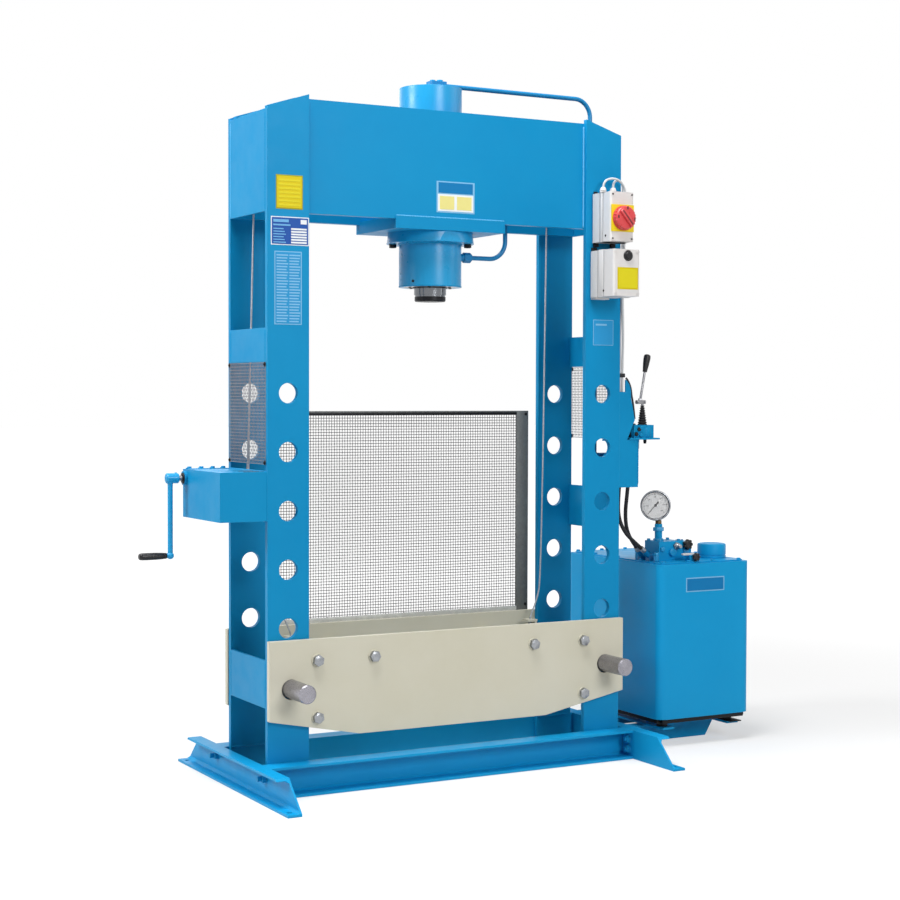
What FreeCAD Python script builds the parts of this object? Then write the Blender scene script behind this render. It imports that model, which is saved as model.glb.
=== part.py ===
"""Workshop hydraulic press: an open H-frame with a bed that a hand winch lifts, two loose bed pins,
a double-acting cylinder in the head, a lever valve and an oil tank on a skid at the right.

Frame of reference: X to the right, Y to the back, Z up, in millimetres. The origin lies on the
floor, under the ram's axis. The ram stands 50 mm out of the cylinder and the bed hangs on its
pins in the lowest holes.
"""
import math
import os
import re

import FreeCAD
import Part
import Sketcher
from FreeCAD import Placement, Rotation, Vector

os.makedirs("parts", exist_ok=True)
doc = FreeCAD.newDocument("WorkshopPress")
sheet = doc.addObject("Spreadsheet::Sheet", "Dims")

# Driving dimensions: alias, size, what it is.
DRIVING = [
    # frame
    ("half_clear", 525, "half of the clear width between the columns"),
    ("column_width", 144, "width of a column plate"),
    ("column_plate", 18, "thickness of a column plate"),
    ("half_depth", 165, "from the middle to a column plate's outer face"),
    ("column_top", 2229, "top of a column plate at its inner edge"),
    ("column_drop", 46, "fall of the column plate's top to its outer edge"),
    ("hole_low", 341, "height of the lowest pin holes"),
    ("hole_pitch", 187.6, "distance between pin holes"),
    ("hole_size", 65, "diameter of the pin holes"),
    ("batten_plate", 10, "thickness of the plates across a column's outer side"),
    ("upper_batten_low", 1378, "lower edge of the upper battens"),
    ("upper_batten_high", 1486, "upper edge of the upper battens"),
    ("middle_batten_low", 800, "lower edge of the right middle batten"),
    ("middle_batten_high", 947, "upper edge of the right middle batten"),
    ("lower_batten_low", 275, "lower edge of the lower battens"),
    ("lower_batten_high", 427, "upper edge of the lower battens"),
    ("head_low", 1853, "lower edge of the head plates"),
    ("head_high", 2217, "upper edge of the head plates"),
    ("head_plate", 25, "thickness of a head plate"),
    ("head_corner", 92, "length of the cut at a head plate's upper corner"),
    ("end_plate_high", 2176, "upper edge of the plates that close the head's ends"),
    ("mount_half_width", 207, "half of the cylinder mounting plate's width"),
    ("mount_half_depth", 150, "half of the cylinder mounting plate's depth"),
    ("mount_low", 1822, "underside of the cylinder mounting plate"),
    ("mount_high", 1863, "upper side of the cylinder mounting plate"),
    # base
    ("base_height", 100, "height of the rolled channels"),
    ("channel_web", 6, "thickness of a channel's web"),
    ("channel_flange", 8, "thickness of a channel's flange"),
    ("channel_fillet", 8, "radius between a channel's web and flange"),
    ("foot_inner", 687, "from the middle to a foot's web"),
    ("foot_width", 47, "width of a foot's flanges"),
    ("foot_half_low", 476, "half length of a foot on the floor"),
    ("foot_half_high", 378, "half length of a foot's upper flange"),
    ("beam_reach", 70, "width of a base beam's flanges"),
    ("anchor_inset", 36, "from a foot's end to its anchor hole"),
    ("anchor_hole", 18, "diameter of the anchor holes"),
    # cylinder and ram
    ("barrel_size", 213, "outer diameter of the cylinder"),
    ("barrel_low", 1640, "lower end of the cylinder"),
    ("barrel_high", 2312, "upper end of the cylinder"),
    ("bore_size", 180, "bore of the cylinder"),
    ("cap_thick", 42, "thickness of the cylinder's closed upper end"),
    ("gland_height", 40, "height of the gland ring"),
    ("flange_size", 298, "diameter of the cylinder's flange at its lower edge"),
    ("flange_taper", 5, "how much smaller the flange's upper edge is in radius"),
    ("flange_thick", 35, "thickness of the cylinder's flange"),
    ("flange_flat", 143, "from the axis to the flange's front flat"),
    ("ram_size", 110, "diameter of the ram"),
    ("ram_low", 1608, "lower end of the ram's chromed rod at rest"),
    ("piston_room", 35, "free height over the ram's piston at rest"),
    ("piston_height", 70, "height of the ram's piston"),
    ("groove_height", 6, "height of the ring groove over the nose"),
    ("groove_depth", 3, "depth of the ring groove over the nose"),
    ("nose_height", 16, "height of the ram's nose"),
    ("nose_size", 106, "diameter of the ram's nose"),
    ("nose_bevel", 3, "bevel of the nose's lower edge"),
    ("spigot_size", 40, "diameter of the nose's spigot in the rod"),
    ("spigot_height", 30, "height of the nose's spigot in the rod"),
    ("slide_gap", 0.3, "clearance between parts that slide or turn"),
    # bed
    ("bed_gap", 3, "clearance between the columns and the bed plates"),
    ("bed_plate", 20, "thickness of a bed plate"),
    ("bed_high", 492, "upper edge of the bed plates"),
    ("bed_low", 175, "lower edge of the bed plates in the middle"),
    ("bed_end_low", 238, "lower edge of the bed plates at their ends"),
    ("bed_half", 672, "half length of the bed plates"),
    ("bed_taper", 354, "from the middle to where a bed plate's lower edge rises"),
    ("bolt_out", 506, "from the middle to the bed's outer bolts"),
    ("bolt_in", 304, "from the middle to the bed's inner bolts"),
    ("bolt_high", 424, "height of the bed's upper bolts"),
    ("bolt_low", 240, "height of the bed's lower bolts"),
    ("bolt_size", 24, "diameter of the bed's bolts"),
    ("bolt_clear", 1, "clearance of the bed's bolts in their holes, all round"),
    ("spacer_size", 34, "outer diameter of the bed's spacer tubes"),
    ("bolt_flats", 36, "width across the flats of the bed's bolts"),
    ("bolt_head", 15, "height of the bed's bolt heads and nuts"),
    ("washer_size", 44, "diameter of the bed's washers"),
    ("washer_thick", 4, "thickness of the bed's washers"),
    # pins
    ("pin_size", 60, "diameter of the bed pins"),
    ("pin_front", 317, "from the middle to a pin's front end"),
    ("pin_back", 222, "from the middle to a pin's back end"),
    ("pin_bevel", 3, "bevel of a pin's ends"),
    # rear guard
    ("guard_post_in", 458, "from the middle to the guard posts"),
    ("guard_post_wide", 50, "width of the guard posts"),
    ("guard_post_thick", 5, "thickness of the guard posts"),
    ("guard_post_low", 452, "lower end of the guard posts"),
    ("guard_high", 1218, "upper end of the guard"),
    ("guard_bar", 12, "height of the guard's upper bar"),
    ("guard_wire", 3, "thickness of the mesh"),
    ("mesh_low", 500, "lower edge of the rear mesh"),
    ("rear_mesh_pitch", 70, "distance between the rear mesh's bars, drawn coarse"),
    ("side_mesh_pitch", 44, "distance between the side meshes' bars, drawn coarse"),
    # side guards
    ("side_mesh_half", 155, "half width of the side meshes"),
    ("left_mesh_low", 1051, "lower edge of the left side mesh"),
    ("side_mesh_high", 1377, "upper edge of the side meshes"),
    # winch
    ("winch_out", 829, "from the middle to the winch housing's outer face"),
    ("winch_low", 873, "underside of the winch housing"),
    ("winch_high", 1030, "upper side of the winch housing"),
    ("winch_sheet", 4, "sheet of the winch housing"),
    ("slot_wide", 110, "length of the slot in the winch housing's top"),
    ("slot_deep", 14, "width of the slot in the winch housing's top"),
    ("slot_front", 110, "from the middle to the slot in the housing's top"),
    ("crank_back", 140, "how far the crank's axis lies behind the middle"),
    ("crank_high", 1001, "height of the crank's axis"),
    ("shaft_size", 18, "diameter of the crank shaft"),
    ("disc_size", 46, "diameter of the bearing disc on the housing"),
    ("disc_thick", 9, "thickness of the bearing disc on the housing"),
    ("hub_out", 896, "from the middle to the crank hub's outer face"),
    ("hub_in", 855, "from the middle to the crank hub's inner face"),
    ("hub_size", 34, "diameter of the crank hub"),
    ("arm_at", 882, "from the middle to the crank arm"),
    ("arm_size", 17, "diameter of the crank arm"),
    ("crank_throw", 252, "from the crank's axis to its grip"),
    ("eye_size", 24, "diameter of the ball at the crank arm's end"),
    ("spindle_size", 10, "diameter of the grip's spindle"),
    ("grip_size", 24, "diameter of the grip"),
    ("grip_length", 94, "length of the grip"),
    ("grip_in", 895, "from the middle to the grip's inner end"),
    ("grip_wall", 6, "thickness of the grip's closed end"),
    ("gearbox_out", 800, "from the middle to the gearbox's outer face"),
    ("gearbox_front", 122, "from the middle to the gearbox's front face"),
    ("drum_at", 745, "from the middle to the drum's axis"),
    ("drum_high", 924, "height of the drum's axis"),
    ("drum_core", 60, "diameter of the drum's core"),
    ("drum_flange", 90, "diameter of the drum's flanges"),
    ("drum_wall", 3, "thickness of the drum's flanges"),
    ("drum_shaft", 16, "diameter of the drum's shaft"),
    # ropes and pulleys
    ("rope_size", 6, "diameter of the wire ropes"),
    ("turn_gap", 2, "gap between the drum's turns of rope"),
    ("guide_left", 44, "how far the left rope lies behind the middle at the winch"),
    ("rope_left", 98, "how far the left rope lies behind the middle at the head"),
    ("guide_at", 676, "from the middle to the guide pulleys' axle"),
    ("pulley_pitch", 29, "radius at which a rope runs on its pulley"),
    ("pulley_size", 68, "outer diameter of the pulleys"),
    ("pulley_wide", 14, "width of a pulley"),
    ("pulley_bore", 14, "diameter of the pulleys' axles"),
    ("top_pulley_high", 2100, "height of the upper pulleys' axles"),
    ("left_pulley_at", 569, "from the middle to the upper left pulleys' axle"),
    ("right_pulley_at", 510, "from the middle to the upper right pulley's axle"),
    ("drop_low", 520, "from the middle to a rope where it starts to bend to the bed"),
    ("drop_low_high", 610, "height where a rope starts to bend to the bed"),
    ("drop_bend", 500, "from the middle to a rope's last bend"),
    ("drop_bend_high", 530, "height of a rope's last bend"),
    ("lug_at", 473, "from the middle to the hole in a rope lug"),
    ("lug_high", 466, "upper side of a rope lug"),
    ("lug_thick", 8, "thickness of a rope lug"),
    ("lug_wide", 40, "width of a rope lug"),
    ("lug_hole", 10, "diameter of the hole in a rope lug"),
    ("ferrule_size", 14, "diameter of the ferrule at a rope's end"),
    ("ferrule_length", 24, "length of the ferrule at a rope's end"),
    # electric boxes
    ("isolator_left", 548, "from the middle to the isolator box's left side"),
    ("isolator_wide", 96, "width of the isolator box"),
    ("isolator_deep", 117, "depth of the isolator box"),
    ("isolator_low", 1803, "underside of the isolator box"),
    ("isolator_high", 1972, "upper side of the isolator box"),
    ("knob_high", 1882, "height of the isolator knob's axis"),
    ("knob_size", 84, "diameter of the isolator knob"),
    ("knob_thick", 24, "thickness of the isolator knob"),
    ("knob_bridge", 10, "how far the isolator knob's bridge stands out"),
    ("knob_bridge_wide", 15, "width of the isolator knob's bridge"),
    ("spindle_wide", 8, "diameter of the isolator knob's spindle"),
    ("spindle_reach", 16, "length of the isolator knob's spindle"),
    ("knob_plate", 92, "side of the isolator's square plate"),
    ("knob_plate_thick", 3, "thickness of the isolator's square plate"),
    ("box_left", 541, "from the middle to the control box's left side"),
    ("box_wide", 109, "width of the control box"),
    ("box_deep", 147, "depth of the control box"),
    ("box_low", 1614, "underside of the control box"),
    ("box_high", 1774, "upper side of the control box"),
    ("box_round", 8, "radius of the boxes' upright edges"),
    ("button_at", 600, "from the middle to the push button"),
    ("button_high", 1752, "height of the push button"),
    ("button_size", 26, "diameter of the push button"),
    ("button_out", 9, "how far the push button stands out"),
    ("button_collar", 34, "diameter of the push button's collar"),
    ("button_travel", 5, "travel of the push button"),
    ("collar_out", 3, "how far the push button's collar stands out"),
    ("gland_size", 24, "diameter of the cable glands"),
    ("gland_high", 20, "height of the cable glands"),
    ("gland_left", 568, "from the middle to the left cable gland"),
    ("gland_right", 609, "from the middle to the right cable gland"),
    ("gland_front", 205, "from the middle to the cable glands"),
    ("cable_size", 8, "diameter of the cables"),
    ("cable_edge", 9, "from a column's edge to the cable beside it"),
    ("cable_off", 2, "from the valve's back plate to the cables before it"),
    ("cable_apart", 9.5, "from one cable to the other beside the column"),
    ("clip_high", 1345, "height of the cable's clip"),
    ("clip_size", 13, "side of the cable's clip"),
    # valve
    ("bracket_sheet", 6, "sheet of the valve's brackets"),
    ("bracket_high", 1287, "upper edge of the valve's back plate"),
    ("bracket_wide", 65, "width of the valve's back plate"),
    ("bracket_top_wide", 48, "width of the valve's back plate at its top"),
    ("bracket_neck", 1188, "height where the valve's back plate is widest"),
    ("stand_wide", 80, "width of the valve's stand"),
    ("stand_deep", 110, "depth of the valve's stand"),
    ("stand_low", 950, "underside of the valve's stand"),
    ("stand_high", 1118, "upper side of the valve's stand"),
    ("shelf_left", 712, "from the middle to the valve shelf's left end"),
    ("shelf_right", 839, "from the middle to the valve shelf's right end"),
    ("shelf_thick", 6, "thickness of the valve's shelf"),
    ("shelf_half", 40, "half depth of the valve's shelf"),
    ("valve_front", 130, "from the middle to the valve's middle"),
    ("valve_left", 736, "from the middle to the valve's left side"),
    ("valve_right", 820, "from the middle to the valve's right side"),
    ("valve_half", 28, "half depth of the valve's body"),
    ("valve_height", 46, "height of the valve's body"),
    ("port_left", 762, "from the middle to the valve's left ports"),
    ("port_right", 802, "from the middle to the valve's right ports"),
    ("pipe_port_drop", 13, "from the valve's upper side to its upper ports"),
    ("hose_port_drop", 35, "from the valve's upper side to its lower ports"),
    ("lever_at", 790, "from the middle to the lever's pivot"),
    ("ball_size", 16, "diameter of the ball that the lever turns on"),
    ("ball_drop", 10, "from the valve's upper side to the lever's ball"),
    ("boot_high", 68, "height of the rubber boot"),
    ("boot_size", 34, "diameter of the rubber boot's foot"),
    ("rod_size", 9, "diameter of the lever's rod"),
    ("yoke_left", 764, "from the middle to the lever yoke's left end"),
    ("yoke_right", 800, "from the middle to the lever yoke's right end"),
    ("yoke_gap", 6, "from the boot's top to the lever's yoke"),
    ("yoke_thick", 14, "height of the lever's yoke"),
    ("yoke_half", 8, "half depth of the lever's yoke"),
    ("rod_at", 780, "from the middle to the lever's rod on its yoke"),
    ("rod_length", 114, "length of the lever's rod over its yoke"),
    ("handle_size", 26, "diameter of the lever's handle"),
    ("handle_length", 62, "length of the lever's handle"),
    ("lever_lean", 10.6, "lean of the lever's rod to the right, in degrees"),
    # power pack
    ("tank_left", 868, "from the middle to the tank's left side"),
    ("tank_right", 1276, "from the middle to the tank's right side"),
    ("tank_front", 135, "from the middle to the tank's front"),
    ("tank_back", 480, "from the middle to the tank's back"),
    ("tank_low", 103, "underside of the tank"),
    ("tank_high", 664, "upper side of the tank"),
    ("tank_sheet", 4, "sheet of the tank"),
    ("tank_round", 28, "radius of the tank's upright edges"),
    ("lid_inset", 14, "from the tank's sides to its lid"),
    ("lid_thick", 5, "thickness of the tank's lid"),
    ("skid_front", 5, "how far the front skid lies behind the middle"),
    ("skid_back", 340, "how far the back skid lies behind the middle"),
    ("skid_high", 60, "height of the skids"),
    ("skid_deep", 50, "width of the skids"),
    ("skid_right_low", 1179, "right end of the skids on the floor"),
    ("skid_right_high", 1215, "right end of the skids at their top"),
    ("cross_left", 905, "from the middle to the left cross bar"),
    ("cross_right", 1195, "from the middle to the right cross bar"),
    ("cross_wide", 50, "width of the cross bars"),
    ("cross_thick", 8, "thickness of the cross bars"),
    ("cross_front", 107, "from the middle to the cross bars' front ends"),
    ("cross_back", 440, "from the middle to the cross bars' back ends"),
    ("rubber_size", 40, "diameter of the rubber mounts"),
    ("block_left", 927, "from the middle to the oil block's left side"),
    ("block_right", 1032, "from the middle to the oil block's right side"),
    ("block_half", 45, "half depth of the oil block"),
    ("block_high", 740, "upper side of the oil block"),
    ("gauge_at", 956, "from the middle to the gauge's stem"),
    ("gauge_high", 871, "height of the gauge's middle"),
    ("gauge_size", 112, "diameter of the gauge's rim"),
    ("gauge_thick", 42, "thickness of the gauge"),
    ("gauge_turn", 34, "turn of the gauge to the left, in degrees"),
    ("gauge_rim", 7, "width of the gauge's rim"),
    ("gauge_well", 12, "depth of the dial under the rim's front"),
    ("stem_size", 14, "diameter of the gauge's stem"),
    ("adapter_size", 28, "diameter of the gauge's adapter"),
    ("adapter_high", 802, "upper end of the gauge's adapter"),
    ("needle_length", 40, "length of the gauge's needle"),
    ("needle_wide", 4, "width of the gauge's needle"),
    ("needle_thick", 1.5, "thickness of the gauge's needle"),
    ("needle_rest", 140, "where the needle rests, in degrees left of the top"),
    ("filler_at", 1199, "from the middle to the filler's axis"),
    ("filler_size", 106, "diameter of the filler cap"),
    ("filler_high", 722, "upper side of the filler cap"),
    ("filler_neck", 90, "diameter of the filler neck"),
    ("filler_neck_high", 684, "upper end of the filler neck"),
    ("relief_right", 1080, "from the middle to the relief valve's right side"),
    ("relief_half", 34, "half depth of the relief valve"),
    ("relief_high", 736, "upper side of the relief valve"),
    ("relief_knob_at", 1055, "from the middle to the relief valve's knob"),
    ("relief_knob_high", 726, "height of the relief valve's knob"),
    ("relief_knob_size", 40, "diameter of the relief valve's knob"),
    ("relief_knob_thick", 22, "thickness of the relief valve's knob"),
    ("release_left", 1020, "from the middle to the release valve's left side"),
    ("release_right", 1058, "from the middle to the release valve's right side"),
    ("release_front", 110, "from the middle to the release valve's front"),
    ("release_back", 78, "from the middle to the release valve's back"),
    ("release_high", 692, "upper side of the release valve"),
    ("release_knob_high", 686, "height of the release valve's knob"),
    ("release_knob_size", 32, "diameter of the release valve's knob"),
    ("release_knob_thick", 18, "thickness of the release valve's knob"),
    ("release_lever", 64, "length of the release valve's lever"),
    ("release_lever_thick", 6, "thickness of the release valve's lever"),
    ("stem_wide", 9, "diameter of the valve knobs' stems"),
    ("stem_deep", 14, "depth of the valve knobs' stems in their valves"),
    ("hose_size", 14, "diameter of the oil hoses"),
    ("hose_end", 20, "diameter of the hoses' end fittings"),
    ("hose_end_length", 36, "length of the hoses' end fittings at the tank"),
    ("hose_elbow", 24, "from the valve's back to its hose elbows"),
    ("hose_drop", 30, "from the valve's lower ports to the hoses' ends"),
    ("elbow_wall", 1, "how much wider the tank's hose elbows are than a hose end, all round"),
    ("pipe_size", 16, "diameter of the oil pipes"),
    ("pipe_bend", 45, "radius of the oil pipes' bends"),
    ("sweep_bend", 62, "radius of the lower pipe's first bend"),
    ("top_port_left", -6, "left side of the cylinder's top fitting"),
    ("top_port_right", 52, "right side of the cylinder's top fitting"),
    ("top_port_half", 20, "half depth of the cylinder's top fitting"),
    ("top_port_high", 28, "height of the cylinder's top fitting"),
    ("riser_at", 646, "from the middle to the pipes in the right column"),
    ("low_riser", 40, "how far the lower pipe lies before the middle"),
    ("top_exit", 1060, "height where the upper pipe leaves the column"),
    ("low_exit", 1028, "height where the lower pipe leaves the column"),
    ("low_port_high", 1747, "height of the cylinder's lower port"),
    ("low_port_size", 26, "diameter of the cylinder's lower port"),
    ("low_nut_left", 128, "from the middle to the lower pipe's nut"),
    ("low_nut_right", 156, "from the middle to the lower pipe nut's end"),
    ("low_nut_flats", 31, "width across the flats of the lower pipe's nut"),
    ("low_pipe_at", 296, "from the middle to where the lower pipe rises"),
    ("low_pipe_high", 1960, "height of the lower pipe in the head"),
    ("flange_bolt_flats", 22, "width across the flats of the cylinder's bolts"),
    ("flange_bolt_head", 12, "height of the heads of the cylinder's bolts"),
    ("base_bolt", 16, "diameter of the base bolts"),
    ("base_bolt_flats", 24, "width across the flats of the base bolts' nuts"),
    ("base_bolt_nut", 13, "height of the base bolts' nuts"),
    ("base_bolt_out", 30, "how far the base bolts stand out of the feet"),
    ("base_bolt_high", 66, "height of the base bolts"),
    ("base_bolt_at", 206, "from the middle to the base bolts"),
]
for row, (alias, size, note) in enumerate(DRIVING, start=1):
    sheet.set("A%d" % row, note)
    sheet.set("B%d" % row, str(size))
    sheet.setAlias("B%d" % row, alias)
doc.recompute()
ALIASES = {alias for alias, size, note in DRIVING}

# Sizes that follow from the driving ones.
DERIVED = {
    "column_outer": "half_clear + column_width",
    "column_middle": "half_clear + column_width / 2",
    "half_inside": "half_depth - column_plate",
    "head_inside": "half_inside - head_plate",
    "head_end": "column_outer - batten_plate",
    "bed_inside": "half_depth + bed_gap",
    "bed_outside": "bed_inside + bed_plate",
    "beam_out": "half_depth + beam_reach",
    "pin_high": "hole_low - hole_size / 2 + pin_size / 2 + slide_gap",
    "bed_hole_high": "pin_high + pin_size / 2 + slide_gap - hole_size / 2",
    "turn_pitch": "rope_size + turn_gap",
    "guide_right": "guide_left + 2 * turn_pitch",
    "rope_right": "rope_left + 2 * turn_pitch",
    "drum_front": "guide_left - turn_pitch * 3 / 2 - drum_wall",
    "drum_back": "drum_front + 2 * drum_wall + 4 * turn_pitch",
    "rope_run": "drum_high + drum_core / 2 + rope_size / 2",
    "guide_high": "rope_run + pulley_pitch",
    "rope_top": "top_pulley_high + pulley_pitch",
    "wound_size": "drum_core / 2 + rope_size",
    "rope_start": "drum_at - sqrt(wound_size * wound_size - drum_core * drum_core / 4) - slide_gap",
    "gearbox_high": "winch_high - winch_sheet",
    "gearbox_low": "winch_low + winch_sheet",
    "right_mesh_low": "stand_high + slide_gap",
    "lid_top": "tank_high + lid_thick",
    "cable_at": "column_outer + cable_edge",
    "cable_front": "half_depth - bracket_sheet - cable_size / 2 - cable_off",
    "port_back": "valve_front - valve_half",
    "valve_high": "stand_high + shelf_thick + valve_height",
    "pipe_port": "valve_high - pipe_port_drop",
    "hose_port": "valve_high - hose_port_drop",
    "hose_start": "hose_port - hose_drop",
    "ball_high": "valve_high - ball_drop",
    "yoke_low": "valve_high + boot_high + yoke_gap",
    "yoke_high": "yoke_low + yoke_thick",
    "barrel_r": "barrel_size / 2",
    "bore_high": "barrel_high - cap_thick",
    "ram_high": "bore_high - piston_room",
    "top_pipe_high": "barrel_high + pipe_size",
    "flange_low": "mount_low - flange_thick",
}


def expand(text):
    """Write a formula over the plain names as one over the sheet's cells."""
    def swap(match):
        word = match.group(0)
        if word in DERIVED:
            return "(" + expand(DERIVED[word]) + ")"
        return "Dims." + word if word in ALIASES else word
    return re.sub(r"[a-z_]+", swap, str(text))


def size_of(text):
    """The number that a formula over the plain names has now."""
    found = sheet.evalExpression(expand(text))
    return float(getattr(found, "Value", found))


def bind(obj, path, text):
    """Bind one property of an object to a formula."""
    obj.setExpression(path, expand(text))


def place(obj, x="0", y="0", z="0", turn=None):
    """Set an object's place by formulas, and its turn."""
    if turn is not None:
        obj.Placement = Placement(Vector(), turn)
    for axis, text in zip("xyz", (x, y, z)):
        if text != "0":
            bind(obj, "Placement.Base." + axis, text)
    return obj


# ---------------------------------------------------------------- sketches and bodies
TURN_X = Rotation(Vector(0, 1, 0), 90)
TURN_Y = Rotation(Vector(1, 0, 0), -90)


def new_sketch(body, plane, name):
    """A sketch on one of the body's own origin planes."""
    support = [f for f in body.Origin.OriginFeatures if f.Role == plane][0]
    sketch = body.newObject("Sketcher::SketchObject", name)
    sketch.AttachmentSupport = [(support, "")]
    sketch.MapMode = "FlatFace"
    return sketch


def fix_point(sketch, geometry, corner, x, y):
    """Bind a point's two coordinates to formulas."""
    for kind, text in (("DistanceX", x), ("DistanceY", y)):
        number = size_of(text)
        if abs(number) < 1e-9:
            where = -2 if kind == "DistanceX" else -1
            sketch.addConstraint(Sketcher.Constraint("PointOnObject", geometry, corner, where))
            continue
        index = sketch.addConstraint(Sketcher.Constraint(kind, -1, 1, geometry, corner, number))
        sketch.setExpression("Constraints[%d]" % index, expand(text))


def draw_loop(sketch, points):
    """A closed outline of straight lines through points given as pairs of formulas."""
    first = sketch.GeometryCount
    numbers = [Vector(size_of(x), size_of(y), 0) for x, y in points]
    count = len(points)
    for i in range(count):
        sketch.addGeometry(Part.LineSegment(numbers[i], numbers[(i + 1) % count]))
    for i in range(count):
        here, after = first + i, first + (i + 1) % count
        sketch.addConstraint(Sketcher.Constraint("Coincident", here, 2, after, 1))
    for i, (x, y) in enumerate(points):
        fix_point(sketch, first + i, 1, x, y)


def draw_circle(sketch, x, y, diameter):
    """A circle whose centre and diameter are formulas."""
    centre = Vector(size_of(x), size_of(y), 0)
    index = sketch.addGeometry(Part.Circle(centre, Vector(0, 0, 1), size_of(diameter) / 2))
    fix_point(sketch, index, 3, x, y)
    number = sketch.addConstraint(Sketcher.Constraint("Diameter", index, size_of(diameter)))
    sketch.setExpression("Constraints[%d]" % number, expand(diameter))


def plate(name, plane, outline, thick, at, holes=()):
    """A flat plate: an outline and round holes, padded to both sides of its middle plane."""
    body = doc.addObject("PartDesign::Body", name)
    sketch = new_sketch(body, plane, name + "_outline")
    draw_loop(sketch, outline)
    for x, y, diameter in holes:
        draw_circle(sketch, x, y, diameter)
    pad = body.newObject("PartDesign::Pad", name + "_pad")
    pad.Profile = sketch
    pad.SideType = "Symmetric"
    bind(pad, "Length", thick)
    axis = {"XZ_Plane": "y", "YZ_Plane": "x", "XY_Plane": "z"}[plane]
    place(body, **{axis: at})
    return body


def turned(name, profile, x="0", y="0", z="0", turn=None):
    """A turned piece: a profile of radius and height, revolved about its own axis."""
    body = doc.addObject("PartDesign::Body", name)
    sketch = new_sketch(body, "XZ_Plane", name + "_profile")
    draw_loop(sketch, profile)
    revolution = body.newObject("PartDesign::Revolution", name + "_turned")
    revolution.Profile = sketch
    revolution.ReferenceAxis = (sketch, ["V_Axis"])
    revolution.Angle = 360
    place(body, x, y, z, turn)
    return body


def rectangle(left, right, low, high):
    """The corners of an upright rectangle."""
    return [(left, low), (right, low), (right, high), (left, high)]


def box(name, left, right, front, back, low, high):
    """A Part box between formulas for its six sides."""
    block = doc.addObject("Part::Box", name)
    bind(block, "Length", "(%s) - (%s)" % (right, left))
    bind(block, "Width", "(%s) - (%s)" % (back, front))
    bind(block, "Height", "(%s) - (%s)" % (high, low))
    place(block, left, front, low)
    return block


def rod(name, diameter, length, x="0", y="0", z="0", turn=None):
    """A Part cylinder that starts at a point and runs along its own axis."""
    cylinder = doc.addObject("Part::Cylinder", name)
    bind(cylinder, "Radius", "(%s) / 2" % diameter)
    bind(cylinder, "Height", length)
    place(cylinder, x, y, z, turn)
    return cylinder


def hexagon(name, flats, length, x="0", y="0", z="0", turn=None):
    """A Part prism with six flats, for bolt heads and nuts."""
    prism = doc.addObject("Part::Prism", name)
    prism.Polygon = 6
    bind(prism, "Circumradius", "(%s) / sqrt(3)" % flats)
    bind(prism, "Height", length)
    place(prism, x, y, z, turn)
    return prism


def fuse(name, shapes):
    """One solid out of several that touch."""
    joined = doc.addObject("Part::MultiFuse", name)
    joined.Shapes = shapes
    joined.Refine = True
    return joined


def cut(name, base, tool):
    """One shape less another."""
    less = doc.addObject("Part::Cut", name)
    less.Base = base
    less.Tool = tool
    less.Refine = True
    return less


def group(name, shapes):
    """Like pieces that share a file as separate solids."""
    several = doc.addObject("Part::Compound", name)
    several.Links = shapes
    return several


def mirrored(name, source, normal):
    """The mirror image of an object in a plane through the origin."""
    image = doc.addObject("Part::Mirroring", name)
    image.Source = source
    image.Base = Vector(0, 0, 0)
    image.Normal = normal
    return image


def feature(name, shape):
    """A shape that is worked out from the sheet's sizes in this file."""
    obj = doc.addObject("Part::Feature", name)
    obj.Shape = shape
    return obj


# ---------------------------------------------------------------- tubes and nets
def route(points, radii):
    """A wire of straight runs joined by tangent arcs."""
    edges = []
    start = points[0]
    for before, corner, after, radius in zip(points, points[1:], points[2:], radii):
        back = (before - corner).normalize()
        ahead = (after - corner).normalize()
        half = (math.pi - back.getAngle(ahead)) / 2
        reach = radius * math.tan(half)
        enter = corner + back * reach
        leave = corner + ahead * reach
        middle = corner + (back + ahead).normalize() * (radius / math.cos(half) - radius)
        if (enter - start).Length > 1e-4:
            edges.append(Part.LineSegment(start, enter).toShape())
        edges.append(Part.Arc(enter, middle, leave).toShape())
        start = leave
    edges.append(Part.LineSegment(start, points[-1]).toShape())
    return Part.Wire(edges)


def tube(points, radii, diameter):
    """A round tube along a route."""
    wire = route(points, radii)
    start = points[0]
    ahead = points[1] - points[0]
    ring = Part.Wire([Part.Circle(start, ahead, diameter / 2).toShape()])
    return wire.makePipeShell([ring], True, False)


def free_radii(points):
    """The largest arcs that a free cord's runs allow."""
    found = []
    for before, corner, after in zip(points, points[1:], points[2:]):
        back, ahead = before - corner, after - corner
        half = (math.pi - back.getAngle(ahead)) / 2
        found.append(0.45 * min(back.Length, ahead.Length) / math.tan(half))
    return found


def cord(name, points, diameter):
    """A free cord along a route chosen by hand; its radii are printed."""
    radii = free_radii(points)
    print(name, "radii", [round(r) for r in radii], "over", round(5 * diameter))
    solid = tube(points, radii, diameter)
    length = route(points, radii).Length
    section = math.pi * diameter ** 2 / 4
    print(name, "volume / (section x length)", round(solid.Volume / (section * length), 4))
    return solid


def net(width, height, pitch, wire, thick):
    """A flat net: one face with a grid of near-square gaps, made thick along Y."""
    columns, rows = round((width - wire) / pitch), round((height - wire) / pitch)
    pitch_x = (width - wire) / columns
    pitch_z = (height - wire) / rows
    corners = [Vector(0, 0, 0), Vector(width, 0, 0), Vector(width, 0, height), Vector(0, 0, height)]
    loops = [Part.makePolygon(corners + corners[:1])]
    for i in range(columns):
        for j in range(rows):
            left, right = wire + i * pitch_x, (i + 1) * pitch_x
            low, high = wire + j * pitch_z, (j + 1) * pitch_z
            gap = [Vector(left, 0, low), Vector(right, 0, low), Vector(right, 0, high),
                   Vector(left, 0, high)]
            loops.append(Part.makePolygon(gap + gap[:1]))
    face = Part.Face(loops, "Part::FaceMakerBullseye")
    return face.extrude(Vector(0, thick, 0))


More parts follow.
